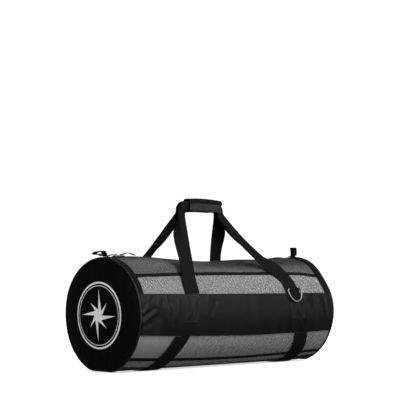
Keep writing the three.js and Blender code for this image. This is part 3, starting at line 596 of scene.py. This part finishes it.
# net panels: open strands over the pale inside that shows through them
netSheets = {"strandWall": 0.0012, "insideDepth": 0.0015, "insideWall": 0.0005, "stepsAlong": 150}
half = barrel["halfBinding"] + barrel["fitGap"]
netEdges = {
    "top": (("zip", 0.0153), ("upper", -half), 24),
    "shoulder": (("upper", half), ("bandMiddle", -0.0002), 28),
    "belly": (("bandMiddle", 0.0002), ("lower", -half), 34),
    "base": (("lower", half), ("base", 0.0), 10),
}
for face, side in (("front", 1), ("rear", -1)):
    for part, (upperEdge, lowerEdge, around) in netEdges.items():
        steps = (netSheets["stepsAlong"], around)
        edges = (upperEdge, lowerEdge)
        net = barrelSheet(f"net_{part}_{face}", side, edges, 0, netSheets["strandWall"], steps)
        complete(net, "net", [f"mesh_{part}_{face}"])
        inside = barrelSheet(f"inside_{part}_{face}", side, edges, -netSheets["insideDepth"],
                             netSheets["insideWall"], steps)
        # the top panels take the inside with painted shade, the belly and base panels the brighter copy with
        # painted light
        complete(inside, {"top": "insidePaintedShade", "shoulder": "inside"}.get(part, "insidePaintedLight"))
print("net panels")

# nylon side bands
bandLook = {"level": 0.0023, "wall": 0.002, "stepsAlong": 330, "stepsAround": 50}

crops = {"near": (95, 250, 13.07), "far": (200, 250, 14.25)}  # left, top and scale of two enlarged views


def onBarrel(across, down):
    # x in mm and degrees of the barrel's point that the camera shows at a pixel of the photo
    turned = radians(studio["turn"])
    focal = studio["lens"] / studio["sensor"] * studio["pictureSize"]
    sideways = (across - studio["pictureSize"] / 2) / focal
    upwards = (studio["pictureSize"] * (0.5 + studio["shift"]) - down) / focal
    ray = np.array([sideways * cos(turned) - sin(turned), sideways * sin(turned) + cos(turned), upwards])
    start = np.array(studio["cameraAt"]) - np.array([shiftX, 0, axisHeight])
    square = ray[1:].dot(ray[1:])
    half = start[1:].dot(ray[1:])
    depth = sqrt(half ** 2 - square * (start[1:].dot(start[1:]) - barrel["radius"] ** 2))
    hit = start - ray * (half + depth) / square
    return hit[0] * 1000, np.degrees(np.arctan2(-hit[1], hit[2]))


def seen(crop, across, down):
    left, top, scale = crops[crop]
    return onBarrel(left + across / scale, top + down / scale)


# folds and hollows: two ends, breadth and height in mm. An end is a point in an enlarged view, or it
# is given as x in mm and degrees.
creases = {
    "nearValley": (seen("near", 760, 600), seen("near", 620, 780), 5, -1.9),
    "nearRidge": ((-335, 72), seen("near", 640, 830), 5, 2.4),
    "puffShade": (seen("near", 610, 880), seen("near", 790, 765), 5, -2.0),
    "puff": (seen("near", 610, 960), seen("near", 800, 820), 6, 2.6),
    "puffFoot": (seen("near", 640, 1002), seen("near", 730, 972), 5, -1.6),
    "steepValley": ((-294, 75), seen("near", 850, 900), 5, -1.6),
    "steepRidge": ((-303, 74), (-318, 84), 6, 1.8),
    "shortValley": ((-271, 70), seen("near", 990, 720), 5, -1.5),
    "lowRidge": ((-286, 82), seen("near", 915, 920), 5, 1.2),
    "longValley": ((-264.5, 78), seen("near", 1010, 960), 6, -1.5),
    "longRidge": ((-278, 71), (-274, 86), 6, 1.2),
    "stitchedRidge": (seen("near", 1330, 620), seen("near", 1190, 900), 4, 0.9),
    "stitchedValley": ((-194, 72), (-189, 92), 6, -0.9),
    "besideStitches": ((-236, 74), (-246, 93), 7, 1.0),
    "cornerTop": (seen("far", 160, 640), seen("far", 230, 740), 6, -1.4),
    "cornerFoot": (seen("far", 230, 740), seen("far", 160, 900), 6, -1.3),
    "besideCorner": ((-126, 72), (-140, 90), 8, 0.9),
    "ringFold": (seen("far", 1500, 690), seen("far", 1560, 800), 6, 2.2),
    "ringInner": (seen("far", 1400, 720), seen("far", 1480, 980), 6, 1.6),
    "ringOuter": (seen("far", 1240, 830), seen("far", 1290, 1120), 6, 1.4),
    "ringMiddle": (seen("far", 1350, 780), seen("far", 1440, 1100), 6, 1.5),
    "farInner": (onBarrel(318, 300), onBarrel(322, 315), 7, 1.5),
    "farOuter": (onBarrel(326, 300), onBarrel(328, 318), 7, 1.4),
    "farHollow": ((285, 74), (300, 104), 8, -1.2),
    "endHollow": ((333, 73), (338, 100), 6, -1.3),
    "middleSwell": ((60, 72), (40, 104), 14, 0.8),
    "middleHollow": ((-40, 71), (-52, 106), 16, -0.7),
    "farSideHollow": ((120, 72), (134, 106), 12, -0.8),
    "lowSwell": ((150, 92), (158, 110), 8, 0.9),
}
hem = {"breadth": 0.007, "height": 0.0005, "ease": 0.002, "flatEdge": 0.008}


def bandRelief(x, angle, side):
    lift = np.zeros_like(x)
    x = x * side
    for (fromX, fromTurn), (toX, toTurn), breadth, height in creases.values():
        besideX, besideY = x - fromX / 1000, np.radians(angle - fromTurn) * barrel["radius"]
        runX, runY = (toX - fromX) / 1000, radians(toTurn - fromTurn) * barrel["radius"]
        t = np.clip((besideX * runX + besideY * runY) / (runX ** 2 + runY ** 2), 0, 1)
        away = np.hypot(besideX - runX * t, besideY - runY * t)
        lift += height / 1000 * np.exp(-(away * 1000 / breadth) ** 2)
    fromTop, fromFoot = angle - lineAngle("bandTop", x * side), lineAngle("bandBottom", x * side) - angle
    fromEdge = np.minimum(fromTop, fromFoot)
    inHem = np.clip((arcAngle(hem["breadth"]) - fromEdge) / arcAngle(hem["ease"]), 0, 1)
    return lift * np.clip(fromEdge / arcAngle(hem["flatEdge"]), 0, 1) + inHem * hem["height"]


for face, side in (("front", 1), ("rear", -1)):
    band = barrelSheet(f"band_{face}", side, (("bandTop", 0), ("bandBottom", 0)), bandLook["level"],
                       bandLook["wall"], (bandLook["stepsAlong"], bandLook["stepsAround"]), bandRelief)
    complete(band, "band", [f"side_band_{face}"])
print("side bands")

# bindings over the lengthways seams
bindingLook = {"proud": 0.0008, "wall": 0.0026, "stepsAlong": 300, "lump": 0.0004, "overlap": 0.0011}


def bindingRelief(x, angle, side):
    return bindingLook["lump"] * np.sin(x * 260 + angle * 0.2 + np.sin(x * 90) * 2)


for face, side in (("front", 1), ("rear", -1)):
    for line in ("upper", "lower"):
        halfStrip = barrel["halfBinding"] + bindingLook["overlap"]
        edges = ((line, -halfStrip), (line, halfStrip))
        strip = barrelSheet(f"binding_strip_{line}_{face}", side, edges, bindingLook["proud"],
                            bindingLook["wall"], (bindingLook["stepsAlong"], 6), bindingRelief)
        complete(strip, "binding", [f"binding_{line}_{face}"])

# the nylon base
def basePlace(u, v):
    x = barrel["panelEnd"] * (2 * u - 1)
    edge = lineAngle("base", x) + arcAngle(barrel["fitGap"])
    angle = edge + (360 - 2 * edge) * v
    return levelPoint(x, angle, 0), (x, np.radians(angle) * barrel["radius"])


base = layGrid("base_cloth", 150, 30, basePlace, turnOver=True)
thicken(base, 0.002)
complete(base, "base", ["base_panel"])
print("bindings and base")

# tapes over the body's ends
tapeLook = {"level": 0.0026, "wall": 0.0015, "stepsAround": 150}
for end, fromX, toX in (
    ("near", -barrel["panelEnd"], -barrel["panelEnd"] + barrel["nearTape"]),
    ("far", barrel["panelEnd"] - barrel["farTape"], barrel["panelEnd"]),
):
    def tapePlace(u, v):
        x = fromX + (toX - fromX) * u
        reach = lineAngle("bandTop", x) - arcAngle(barrel["fitGap"])
        angle = reach * (2 * v - 1)
        return levelPoint(x, angle, tapeLook["level"]), (x, np.radians(angle) * barrel["radius"])

    tape = layGrid(f"tape_{end}", 8, tapeLook["stepsAround"], tapePlace, turnOver=True)
    thicken(tape, tapeLook["wall"])
    complete(tape, "endTape", [f"end_tape_{end}"])

# piping and end caps
rimLook = {"seamX": 0.371, "pipingRadius": 0.0025, "sink": 0.0005, "dome": 0.012, "wall": 0.002,
           "mapHalf": 0.004, "weld": 0.00002}
capRows = ((0.0, 1.0), (0.45, 0.9), (0.8, 0.5), (0.95, 0.15), (1.0, 0.0))
for end, way in (("near", -1), ("far", 1)):
    rimX = way * rimLook["seamX"]
    piping, turn, outwards, sideways = addTorus(f"piping_cord_{end}", 192, 12)
    turn = np.degrees(turn)
    normal = faceNormal(np.full_like(turn, rimX), turn)
    normal[:, 0] = 0
    middle = levelPoint(rimX, turn, -rimLook["sink"])
    points = middle + unit(normal) * (outwards * rimLook["pipingRadius"])[:, None]
    points[:, 0] += sideways * rimLook["pipingRadius"] + shiftX
    piping.data.vertices.foreach_set("co", points.ravel())
    layMap(piping.data, np.stack([sideways * rimLook["mapHalf"], np.radians(turn) * barrel["radius"]], -1))
    editAll(bpy.ops.mesh.normals_make_consistent, inside=False)
    complete(piping, "piping", [f"piping_{end}"], corner=80)

    def capPlace(u, v):
        turn = 360 * v
        bulge = tableValue(capRows, u)
        rim = levelPoint(rimX, turn, -(rimLook["sink"] + rimLook["pipingRadius"] + barrel["fitGap"]))
        middle = np.array([rimX, 0, axisHeight])
        points = middle + (rim - middle) * u[:, None]
        points[:, 0] = rimX + way * (rimLook["dome"] * bulge + rimLook["wall"] / 2)
        return points, (-points[:, 1] * way, points[:, 2] - axisHeight)

    cap = layGrid(f"cap_cloth_{end}", 30, 192, capPlace, turnOver=way > 0)
    editAll(bpy.ops.mesh.remove_doubles, threshold=rimLook["weld"])
    thicken(cap, rimLook["wall"])
    complete(cap, "capPrinted" if end == "near" else "cap", [f"end_cap_{end}"])
print("tapes, piping and caps")

# webbing: smooth lines and rows
web = {
    "width": 0.050, "wall": 0.002, "foldArc": 0.008, "seat": 0.0018,
    "footSpacing": 0.388, "shift": 0.013, "liftAngle": 57.5,
    "gripHeight": 0.455, "gripPeak": -0.028, "gripDroop": 0.005, "gripFrom": -0.066, "gripTo": 0.053,
    "offset": 0.0072, "exitHeight": 0.425, "cornerNear": -0.097, "cornerFar": 0.062,
    "cornerRadius": 0.023, "flare": 0.12, "lean": 0.03, "straightFrom": -0.072, "straightTo": 0.040,
}
evening = {"from": 0.27, "fromEase": 0.03, "to": 0.415, "toEase": 0.02, "sweeps": 16}  # heights on the legs
legCourses = {  # share of the leg, bow outwards, clear of the straight line, fold in degrees
    "frontNear": (0.5, ((0.2, 0, 0.008, 4), (0.45, 0, 0, 22), (0.68, 0, 0, 58), (0.86, 0, 0, 95),
                        (1, 0, 0, 184))),
    "frontFar": (0.5, ((0.2, -0.02, 0.018, 14), (0.45, -0.045, 0, 90), (0.68, -0.05, 0, 130),
                       (0.86, -0.03, 0, 158), (1, 0, 0, 184))),
    "rearNear": (0.5, ((0.2, 0, 0.018, 14), (0.45, 0, 0, 95), (0.68, 0, 0, 140), (0.86, 0, 0, 164),
                       (1, 0, 0, 184))),
    "rearFar": (0.44, ((0.2, -0.03, 0.018, 0), (0.45, -0.045, 0, 6), (0.68, -0.03, 0, 40),
                       (0.86, -0.015, 0, 96), (1, 0, 0, 184))),
}
flatHalf = (web["width"] - web["foldArc"]) / 2


def smoothLine(points, perSpan, closed=False):
    points = np.asarray(points, float)
    count = len(points)
    flat = points.reshape(count, -1)
    if closed:
        flat = np.concatenate([flat[-1:], flat, flat[:2]])
        spans = count
    else:
        flat = np.concatenate([2 * flat[:1] - flat[1:2], flat, 2 * flat[-1:] - flat[-2:-1]])
        spans = count - 1
    made = []
    for k in range(spans):
        before, here, there, after = flat[k:k + 4]
        gaps = [max(np.linalg.norm(step) ** 0.5, 1e-6) for step in np.diff(flat[k:k + 4], axis=0)]
        leave = (here - before) / gaps[0] - (there - before) / (gaps[0] + gaps[1]) + (there - here) / gaps[1]
        arrive = (there - here) / gaps[1] - (after - here) / (gaps[1] + gaps[2]) + (after - there) / gaps[2]
        leave, arrive = leave * gaps[1], arrive * gaps[1]
        for t in np.arange(perSpan) / perSpan:
            made.append(here + leave * t + (3 * (there - here) - 2 * leave - arrive) * t * t
                        + (2 * (here - there) + leave + arrive) * t ** 3)
    if not closed:
        made.append(flat[-2])
    return np.array(made).reshape(-1, *points.shape[1:])


def layRows(name, rows, wall, turnOver=False, offset=0):
    # rows of points, each from edge to edge; the map is measured on the cloth itself
    rows = np.asarray(rows)
    count, columns = rows.shape[:2]
    along = runLengths(rows[:, columns // 2])
    across = runLengths(rows[count // 2])

    def place(u, v):
        i = np.rint(u * (count - 1)).astype(int)
        j = np.rint(v * (columns - 1)).astype(int)
        return rows[i, j], (across[j], along[i])

    piece = layGrid(name, count - 1, columns - 1, place, turnOver)
    thicken(piece, wall, offset, even=False)
    return piece


def gripLine(x):
    fromPeak = (x - web["gripPeak"]) / (web["gripTo"] - web["gripPeak"])
    return web["gripHeight"] - web["gripDroop"] * fromPeak ** 2


acrossPlaces = np.concatenate([
    np.linspace(0, flatHalf, 7), flatHalf + web["foldArc"] * np.arange(1, 8) / 8,
    np.linspace(flatHalf + web["foldArc"], web["width"], 7),
])


def clothRow(x, angle, side, end):
    across = web["width"] / 2 - acrossPlaces
    return levelPoint(x - end * across, side * angle, web["seat"])


def freeRow(point, tangent, fold, side):
    tangent = unit(tangent)
    out = np.array([0, -side, 0])
    facing = unit(out - tangent * out.dot(tangent))
    across = np.cross(tangent, facing) * side
    fold = max(radians(fold), 1e-4)
    radius = web["foldArc"] / fold
    row = []
    for s in acrossPlaces:
        heading = fold * min(max(s - flatHalf, 0) / web["foldArc"], 1)
        left = -(s - flatHalf) if s < flatHalf else -radius * sin(heading)
        back = 0 if s < flatHalf else -radius * (1 - cos(heading))
        rest = max(s - flatHalf - web["foldArc"], 0)
        row.append(point + across * (left - cos(heading) * rest) + facing * (back - sin(heading) * rest))
    return np.array(row)


def roundedCorner(before, corner, after, radius, steps):
    toBefore, toAfter = unit(before - corner), unit(after - corner)
    half = np.arccos(np.clip(toBefore.dot(toAfter), -1, 1)) / 2
    centre = corner + unit(toBefore + toAfter) * radius / sin(half)
    start = corner + toBefore * radius / np.tan(half) - centre
    finishing = corner + toAfter * radius / np.tan(half) - centre
    turn = np.arccos(np.clip(unit(start).dot(unit(finishing)), -1, 1))
    return [centre + start * sin((1 - t) * turn) / sin(turn) + finishing * sin(t * turn) / sin(turn)
            for t in np.linspace(0, 1, steps + 1)]


def legStops(leg, side, end):
    foot, course = legCourses[leg]
    footX = web["shift"] + end * web["footSpacing"] * foot
    footAngle = lineAngle("bandTop", footX) - arcAngle(0.001)
    cornerX = web["cornerNear"] if end < 0 else web["cornerFar"]
    cornerZ = gripLine(min(max(cornerX, web["gripFrom"]), web["gripTo"]))
    corner = np.array([cornerX, -side * web["offset"], cornerZ])
    exitX = cornerX + end * web["flare"] * (cornerZ - web["exitHeight"])
    leave = np.array([exitX, -side * web["offset"], web["exitHeight"]])
    lean = (exitX - footX) * web["lean"]
    cloth = [clothRow(footX + lean * t, footAngle + (web["liftAngle"] - footAngle) * t, side, end)
             for t in (0, 0.33, 0.67, 1)]
    lift = levelPoint(footX + lean - end * web["foldArc"] / 2, side * web["liftAngle"], web["seat"])
    reach = np.linalg.norm(leave - lift)
    stops = [(lift + (leave - lift) * along + np.array([end * bow, -side * clear, 0]) * reach, fold)
             for along, bow, clear, fold in course]
    return cloth, lift, stops, corner


def handleRows(side, nearLeg, farLeg):
    nearCloth, nearLift, nearStops, nearCorner = legStops(nearLeg, side, -1)
    farCloth, farLift, farStops, farCorner = legStops(farLeg, side, 1)
    straight = [np.array([x, -side * web["offset"], gripLine(x)])
                for x in np.linspace(web["straightFrom"], web["straightTo"], 5)]
    nearTurn = roundedCorner(nearStops[-1][0], nearCorner, straight[0], web["cornerRadius"], 6)
    farTurn = roundedCorner(farStops[-1][0], farCorner, straight[-1], web["cornerRadius"], 6)
    folded = nearStops[-1][1]
    stops = ([(nearLift, 0)] + nearStops + [(p, folded) for p in nearTurn + straight[1:-1] + farTurn[::-1]]
             + farStops[::-1] + [(farLift, 0)])
    line = smoothLine([np.append(point, radians(fold) * 0.02) for point, fold in stops], 5)
    folds = np.degrees(line[:, 3] / 0.02)
    tangents = np.gradient(line[:, :3], axis=0)
    free = [freeRow(line[k, :3], tangents[k], folds[k], side) for k in range(5, len(line) - 5)]
    rows = np.array(nearCloth + free + farCloth[::-1])
    height = rows[..., 2].mean(axis=1)
    loose = (np.clip((height - evening["from"]) / evening["fromEase"], 0, 1)
             * np.clip((evening["to"] - height) / evening["toEase"], 0, 1))
    for sweep in range(evening["sweeps"]):  # evens out the legs' edges between the barrel and the grip
        evened = (rows[:-2] + 2 * rows[1:-1] + rows[2:]) / 4
        rows[1:-1] += (evened - rows[1:-1]) * loose[1:-1, None, None]
    return smoothLine(rows, 2)


for face, side in (("front", 1), ("rear", -1)):
    rows = handleRows(side, f"{face}Near", f"{face}Far")
    carrier = layRows(f"webbing_handle_{face}", rows, web["wall"], turnOver=side > 0)
    complete(carrier, "webbing", [f"handle_{face}"])

strapFlare = ((68, 0.5), (111, 0.593), (138, 0.65), (180, 0.665))
strapLook = {"startFlare": 0.593, "clearance": 0.0013, "seat": 0.0026}
for end, way in (("near", -1), ("far", 1)):
    startX = web["shift"] + way * web["footSpacing"] * strapLook["startFlare"]
    start = float(lineAngle("bandBottom", startX) + arcAngle(strapLook["clearance"]))
    angles = np.linspace(start, 360 - start, 90)
    spread = tableValue(strapFlare, np.minimum(angles, 360 - angles))
    middles = web["shift"] + way * web["footSpacing"] * spread
    across = np.linspace(-web["width"] / 2, web["width"] / 2, 9)
    rows = levelPoint(middles[:, None] + across[None, :], angles[:, None], strapLook["seat"])
    strap = layRows(f"webbing_base_{end}", rows, web["wall"])
    complete(strap, "webbing", [f"base_strap_{end}"])
print("webbing")

# the padded grip and its flap
gripLook = {"wall": 0.0027, "clearance": 0.0008, "round": 0.0012, "opening": 0.044, "openRun": 0.012,
            "openTurn": 80, "openLift": 0.0015, "slit": 0.0003, "flapWall": 0.0015, "flapDrop": 0.008,
            "flapGap": 0.0003, "flapLow": 0.002, "flapNearInset": 0.002, "flapFarReach": 0.003}
cavityHalf = web["offset"] + web["wall"] / 2 + gripLook["clearance"]
cavityTop = web["foldArc"] / pi + web["wall"] / 2 + gripLook["clearance"]
cavityBottom = -flatHalf - 2 * gripLook["clearance"]


def gripCorner(x, sideWay, upWay, growth, fromTurn, toTurn, steps=4):
    centreY = sideWay * (cavityHalf - gripLook["round"])
    centreZ = gripLine(x) + (cavityTop - gripLook["round"] if upWay > 0 else cavityBottom + gripLook["round"])
    radius = gripLook["round"] + growth
    return [np.array([x, centreY + radius * sin(radians(t)), centreZ + radius * cos(radians(t))])
            for t in np.linspace(fromTurn, toTurn, steps)]


def spacedOut(path, count):
    # points at even distances along a path
    length = runLengths(path)
    places = np.linspace(0, length[-1], count)
    return np.stack([np.interp(places, length, path[:, k]) for k in range(3)], -1)


def gripRow(x, growth):
    t = min(max((x - (web["gripTo"] - gripLook["opening"])) / gripLook["openRun"], 0), 1)
    opening = t * t * (3 - 2 * t)
    bottom = gripLine(x) + cavityBottom

    def edge(side):
        closed = np.array([x, side * gripLook["slit"], bottom - growth])
        opened = np.array([x, side * (cavityHalf + growth), bottom - gripLook["openLift"]])
        return closed + (opened - closed) * opening

    turn = 180 - gripLook["openTurn"] * opening
    corners = (gripCorner(x, 1, -1, growth, turn, 90) + gripCorner(x, 1, 1, growth, 90, 0)
               + gripCorner(x, -1, 1, growth, 0, -90) + gripCorner(x, -1, -1, growth, -90, -turn))
    return spacedOut(np.array([edge(1)] + corners + [edge(-1)]), 60)


gripRows = np.array([gripRow(x, gripLook["wall"]) for x in np.linspace(web["gripFrom"], web["gripTo"], 70)])
grip = layRows("grip_pad", gripRows, gripLook["wall"], offset=-1)
complete(grip, "grip", ["grip_wrap"])


def flapRow(x):
    growth = gripLook["wall"] + gripLook["flapGap"] + gripLook["flapWall"]
    lowEdge = np.array([x, cavityHalf + growth, gripLine(x) + cavityBottom + gripLook["flapLow"]])
    highEdge = np.array([x, -cavityHalf - growth, gripLine(x) + cavityTop - gripLook["flapDrop"]])
    corners = gripCorner(x, 1, 1, growth, 90, 0, 6) + gripCorner(x, -1, 1, growth, 0, -90, 6)
    return spacedOut(np.array([lowEdge] + corners + [highEdge]), 40)


flapFrom, flapTo = web["gripFrom"] + gripLook["flapNearInset"], web["gripTo"] + gripLook["flapFarReach"]
flapRows = np.array([flapRow(x) for x in np.linspace(flapFrom, flapTo, 60)])
flap = layRows("grip_cover", flapRows, gripLook["flapWall"], offset=-1)
complete(flap, "flap", ["grip_flap"])
print("grip")

# D-rings and their tabs
ringLook = {"wire": 0.00225, "halfWidth": 0.026, "drop": 0.036, "angle": 67, "tabWidth": 0.036,
            "tabTail": 0.031, "tabReturn": 0.019, "tabWall": 0.0016, "clearance": 0.0005,
            "outwards": 0.004, "layerGap": 0.0004, "restGap": 0.0016, "bend": 0.0025, "straight": 0.01}
tabSeat = 0.0036
barLevel = tabSeat + ringLook["tabWall"] + ringLook["clearance"] + ringLook["wire"]


def ringPlace(x, side, below, level):
    return levelPoint(x, side * (ringLook["angle"] + arcAngle(below)), level)


for face, side in (("front", 1), ("rear", -1)):
    x = web["shift"] + side * (web["footSpacing"] / 2 + ringLook["outwards"])
    layer = ringLook["tabWall"] / 2
    innerLevel = tabSeat + layer
    outerLevel = innerLevel + ringLook["tabWall"] + ringLook["layerGap"]
    loop = ringLook["wire"] + ringLook["clearance"] + layer
    course = [(ringLook["tabTail"], innerLevel), (ringLook["tabTail"] / 2, innerLevel)]
    course += [(loop * cos(radians(t)), barLevel + loop * sin(radians(t))) for t in np.linspace(-90, -270, 9)]
    course += [(loop + 0.0035, outerLevel + 0.0018), (loop + 0.008, outerLevel),
               (ringLook["tabReturn"], outerLevel)]
    course = smoothLine(course, 4)
    across = np.linspace(-ringLook["tabWidth"] / 2, ringLook["tabWidth"] / 2, 7)
    rows = np.array([ringPlace(x + across, side, below, level) for below, level in course])
    tab = layRows(f"tab_ring_{face}", rows, ringLook["tabWall"], turnOver=side > 0)
    complete(tab, "webbing", [f"ring_tab_{face}"])

    bar = ringPlace(x, side, 0, barLevel)
    footLevel = tabSeat + ringLook["tabWall"] + ringLook["restGap"] + ringLook["wire"]
    foot = ringPlace(x, side, ringLook["drop"], footLevel)
    down = unit(foot - bar)
    outward = unit(np.cross(down, [1, 0, 0]))
    bowTurns = np.linspace(0, pi, 17)[1:-1]
    outline = [(ringLook["halfWidth"] * cos(t), ringLook["drop"] * sin(t) ** 0.8) for t in bowTurns]
    barEnd, bend, straight = ringLook["halfWidth"], ringLook["bend"], ringLook["straight"]
    outline += [(-barEnd, bend), (-barEnd + bend, 0), (-straight, 0),
                (straight, 0), (barEnd - bend, 0), (barEnd, bend)]
    outline = smoothLine(outline, 5, closed=True)
    ways = unit(np.roll(outline, -1, 0) - np.roll(outline, 1, 0))
    ring, turn, outwards, sideways = addTorus(f"ring_wire_{face}", len(outline), 14)
    k = np.rint(turn / (2 * pi) * len(outline)).astype(int) % len(outline)
    beside, lift = outwards * ringLook["wire"], sideways * ringLook["wire"]
    middle = bar + outline[k, :1] * np.array([1, 0, 0]) + outline[k, 1:] * down
    radial = -ways[k, 1:] * np.array([1, 0, 0]) + ways[k, :1] * down
    points = middle + radial * beside[:, None] + outward * lift[:, None] + np.array([shiftX, 0, 0])
    ring.data.vertices.foreach_set("co", points.ravel())
    editAll(bpy.ops.mesh.normals_make_consistent, inside=False)
    complete(ring, "ring", [f"d_ring_{face}"], body=f"ring_{face}", corner=80)
print("rings")

# the zip: tapes, teeth, sliders, pulls and the loops at its ends
zipLook = {"halfChain": 0.0035, "gap": 0.0003, "tapeTo": 0.015, "tapeWall": 0.002, "tooth": 0.0026,
           "toothShare": 0.62, "toothHeight": 0.004, "toothRound": 0.0006}
for face, side in (("front", 1), ("rear", -1)):
    edges = (("zip", zipLook["halfChain"] + zipLook["gap"]), ("zip", zipLook["tapeTo"]))
    tape = barrelSheet(f"zip_cloth_{face}", side, edges, 0, zipLook["tapeWall"], (200, 6))
    complete(tape, "zipTape", [f"zip_tape_{face}"])

chainFrom = -barrel["panelEnd"] + barrel["nearTape"] + zipLook["gap"]
chainTo = barrel["panelEnd"] - barrel["farTape"] - zipLook["gap"]
teeth = int((chainTo - chainFrom) / zipLook["tooth"])
bpy.ops.object.select_all(action="DESELECT")
bpy.ops.mesh.primitive_cube_add(size=1)
chain = bpy.context.object
chain.name = "zip_teeth"
chain.scale = (zipLook["tooth"] * zipLook["toothShare"], zipLook["halfChain"] * 2, zipLook["toothHeight"])
chain.location = (chainFrom + zipLook["tooth"] / 2, 0, 0)
bpy.ops.object.transform_apply(location=True, rotation=False, scale=True)
withModifier(chain, "BEVEL", width=zipLook["toothRound"], segments=2)
withModifier(chain, "ARRAY", count=teeth, use_relative_offset=False, use_constant_offset=True,
             constant_offset_displace=(zipLook["tooth"], 0, 0))
flat = readPoints(chain.data)
flat[:, 2] += facePoint(flat[:, 0], 0)[:, 2]
flat[:, 0] += shiftX
chain.data.vertices.foreach_set("co", flat.ravel())
complete(chain, "zip", ["zip_chain"])

sliderLook = {
    "places": {"near": -0.325, "far": -0.3055}, "size": (0.017, 0.012, 0.0016), "aboveChain": 0.0028,
    "taper": 0.28, "edgeFrom": 0.0042, "edgeDrop": 0.0018, "archRadius": 0.0044, "archWire": 0.0009,
    "archLift": 0.0012, "round": 0.0003,
}
for name, x in sliderLook["places"].items():
    roof = float(facePoint(x, 0)[2]) + sliderLook["aboveChain"]
    bpy.ops.object.select_all(action="DESELECT")
    bpy.ops.mesh.primitive_cube_add(size=1)
    body = bpy.context.object
    body.name = f"slider_{name}"
    body.scale = sliderLook["size"]
    body.location = (x + shiftX, 0, roof + sliderLook["size"][2] / 2)
    bpy.ops.object.transform_apply(location=True, rotation=False, scale=True)
    editAll(bpy.ops.mesh.subdivide, number_cuts=3)
    for vertex in body.data.vertices:       # the nose is narrower than the tail, and the edges turn down
        t = (vertex.co.x - x - shiftX) / (sliderLook["size"][0] / 2)
        vertex.co.y *= 1 - sliderLook["taper"] * max(t, 0) ** 2
        if abs(vertex.co.y) > sliderLook["edgeFrom"]:
            vertex.co.z -= sliderLook["edgeDrop"]
    bpy.ops.object.select_all(action="DESELECT")
    bpy.ops.mesh.primitive_torus_add(
        major_segments=24, minor_segments=8, major_radius=sliderLook["archRadius"],
        minor_radius=sliderLook["archWire"], location=(x + shiftX, 0, roof + sliderLook["archLift"]),
        rotation=(0, radians(90), 0))
    bpy.ops.object.transform_apply(location=True, rotation=True, scale=True)
    body.select_set(True)
    bpy.context.view_layer.objects.active = body
    bpy.ops.object.join()
    body = bpy.context.object
    withModifier(body, "BEVEL", width=sliderLook["round"], segments=2, limit_method="ANGLE")
    complete(body, "slider", [f"zip_slider_{name}"])

pullLook = {"width": 0.008, "wall": 0.0016, "tail": 0.004, "above": 0.0044, "gap": 0.0005, "droopFrom": 0.010}
pulls = {"near": (-1, 0.025, 0.05, 0.12), "far": (1, 0.048, 0.12, 0.03)}  # way, length, arch and droop
for name, (points, length, arch, droop) in pulls.items():
    at = sliderLook["places"][name]
    floorZ = float(facePoint(at, 0)[2]) + pullLook["above"]
    across = np.linspace(-0.5, 0.5, 5) * pullLook["width"]
    rows = []
    for t in np.linspace(0, 1, 30):
        run = -pullLook["tail"] + t * (pullLook["tail"] + length)
        lifted = arch * length * sin(pi * max(0, run / length)) ** 1.5 if run < length else 0
        drooped = droop * max(0, run - pullLook["droopFrom"])
        z = floorZ + pullLook["gap"] + pullLook["wall"] / 2 + lifted - drooped
        rows.append([(at + points * run, -points * w, z) for w in across])
    pull = layRows(f"pull_{name}", rows, pullLook["wall"])
    complete(pull, "webbing", [f"zip_pull_{name}"])

endTabs = {  # the loops' courses: outwards and up, in shares of the height
    "near": ((-0.5, 0.07), (-0.25, 0.02), (-0.14, 0.3), (0.1, 0.54), (0.6, 0.5), (1.05, 0.42), (1.2, 0.3),
             (1.0, 0.2), (0.5, 0.24), (0.16, 0.06)),
    "far": ((-0.55, 0.0), (-0.16, 0.0), (-0.08, 0.35), (-0.14, 0.75), (-0.18, 0.93), (-0.06, 1.0),
            (0.04, 0.9), (0.08, 0.5), (0.08, 0.1)),
}
tabLook = {"width": 0.020, "wall": 0.0018, "height": 0.025, "seat": 0.0038}
for end, way in (("near", -1), ("far", 1)):
    rim = levelPoint(way * barrel["panelEnd"], 0, tabLook["seat"])
    line = smoothLine([(rim[0] + way * out * tabLook["height"], rim[2] + up * tabLook["height"])
                       for out, up in endTabs[end]], 5)
    across = np.linspace(-0.5, 0.5, 7) * tabLook["width"]
    rows = [[(px, way * w, pz) for w in across] for px, pz in line]
    tab = layRows(f"tab_end_{end}", rows, tabLook["wall"])
    complete(tab, "webbing", [f"end_tab_{end}"])
print("zip")
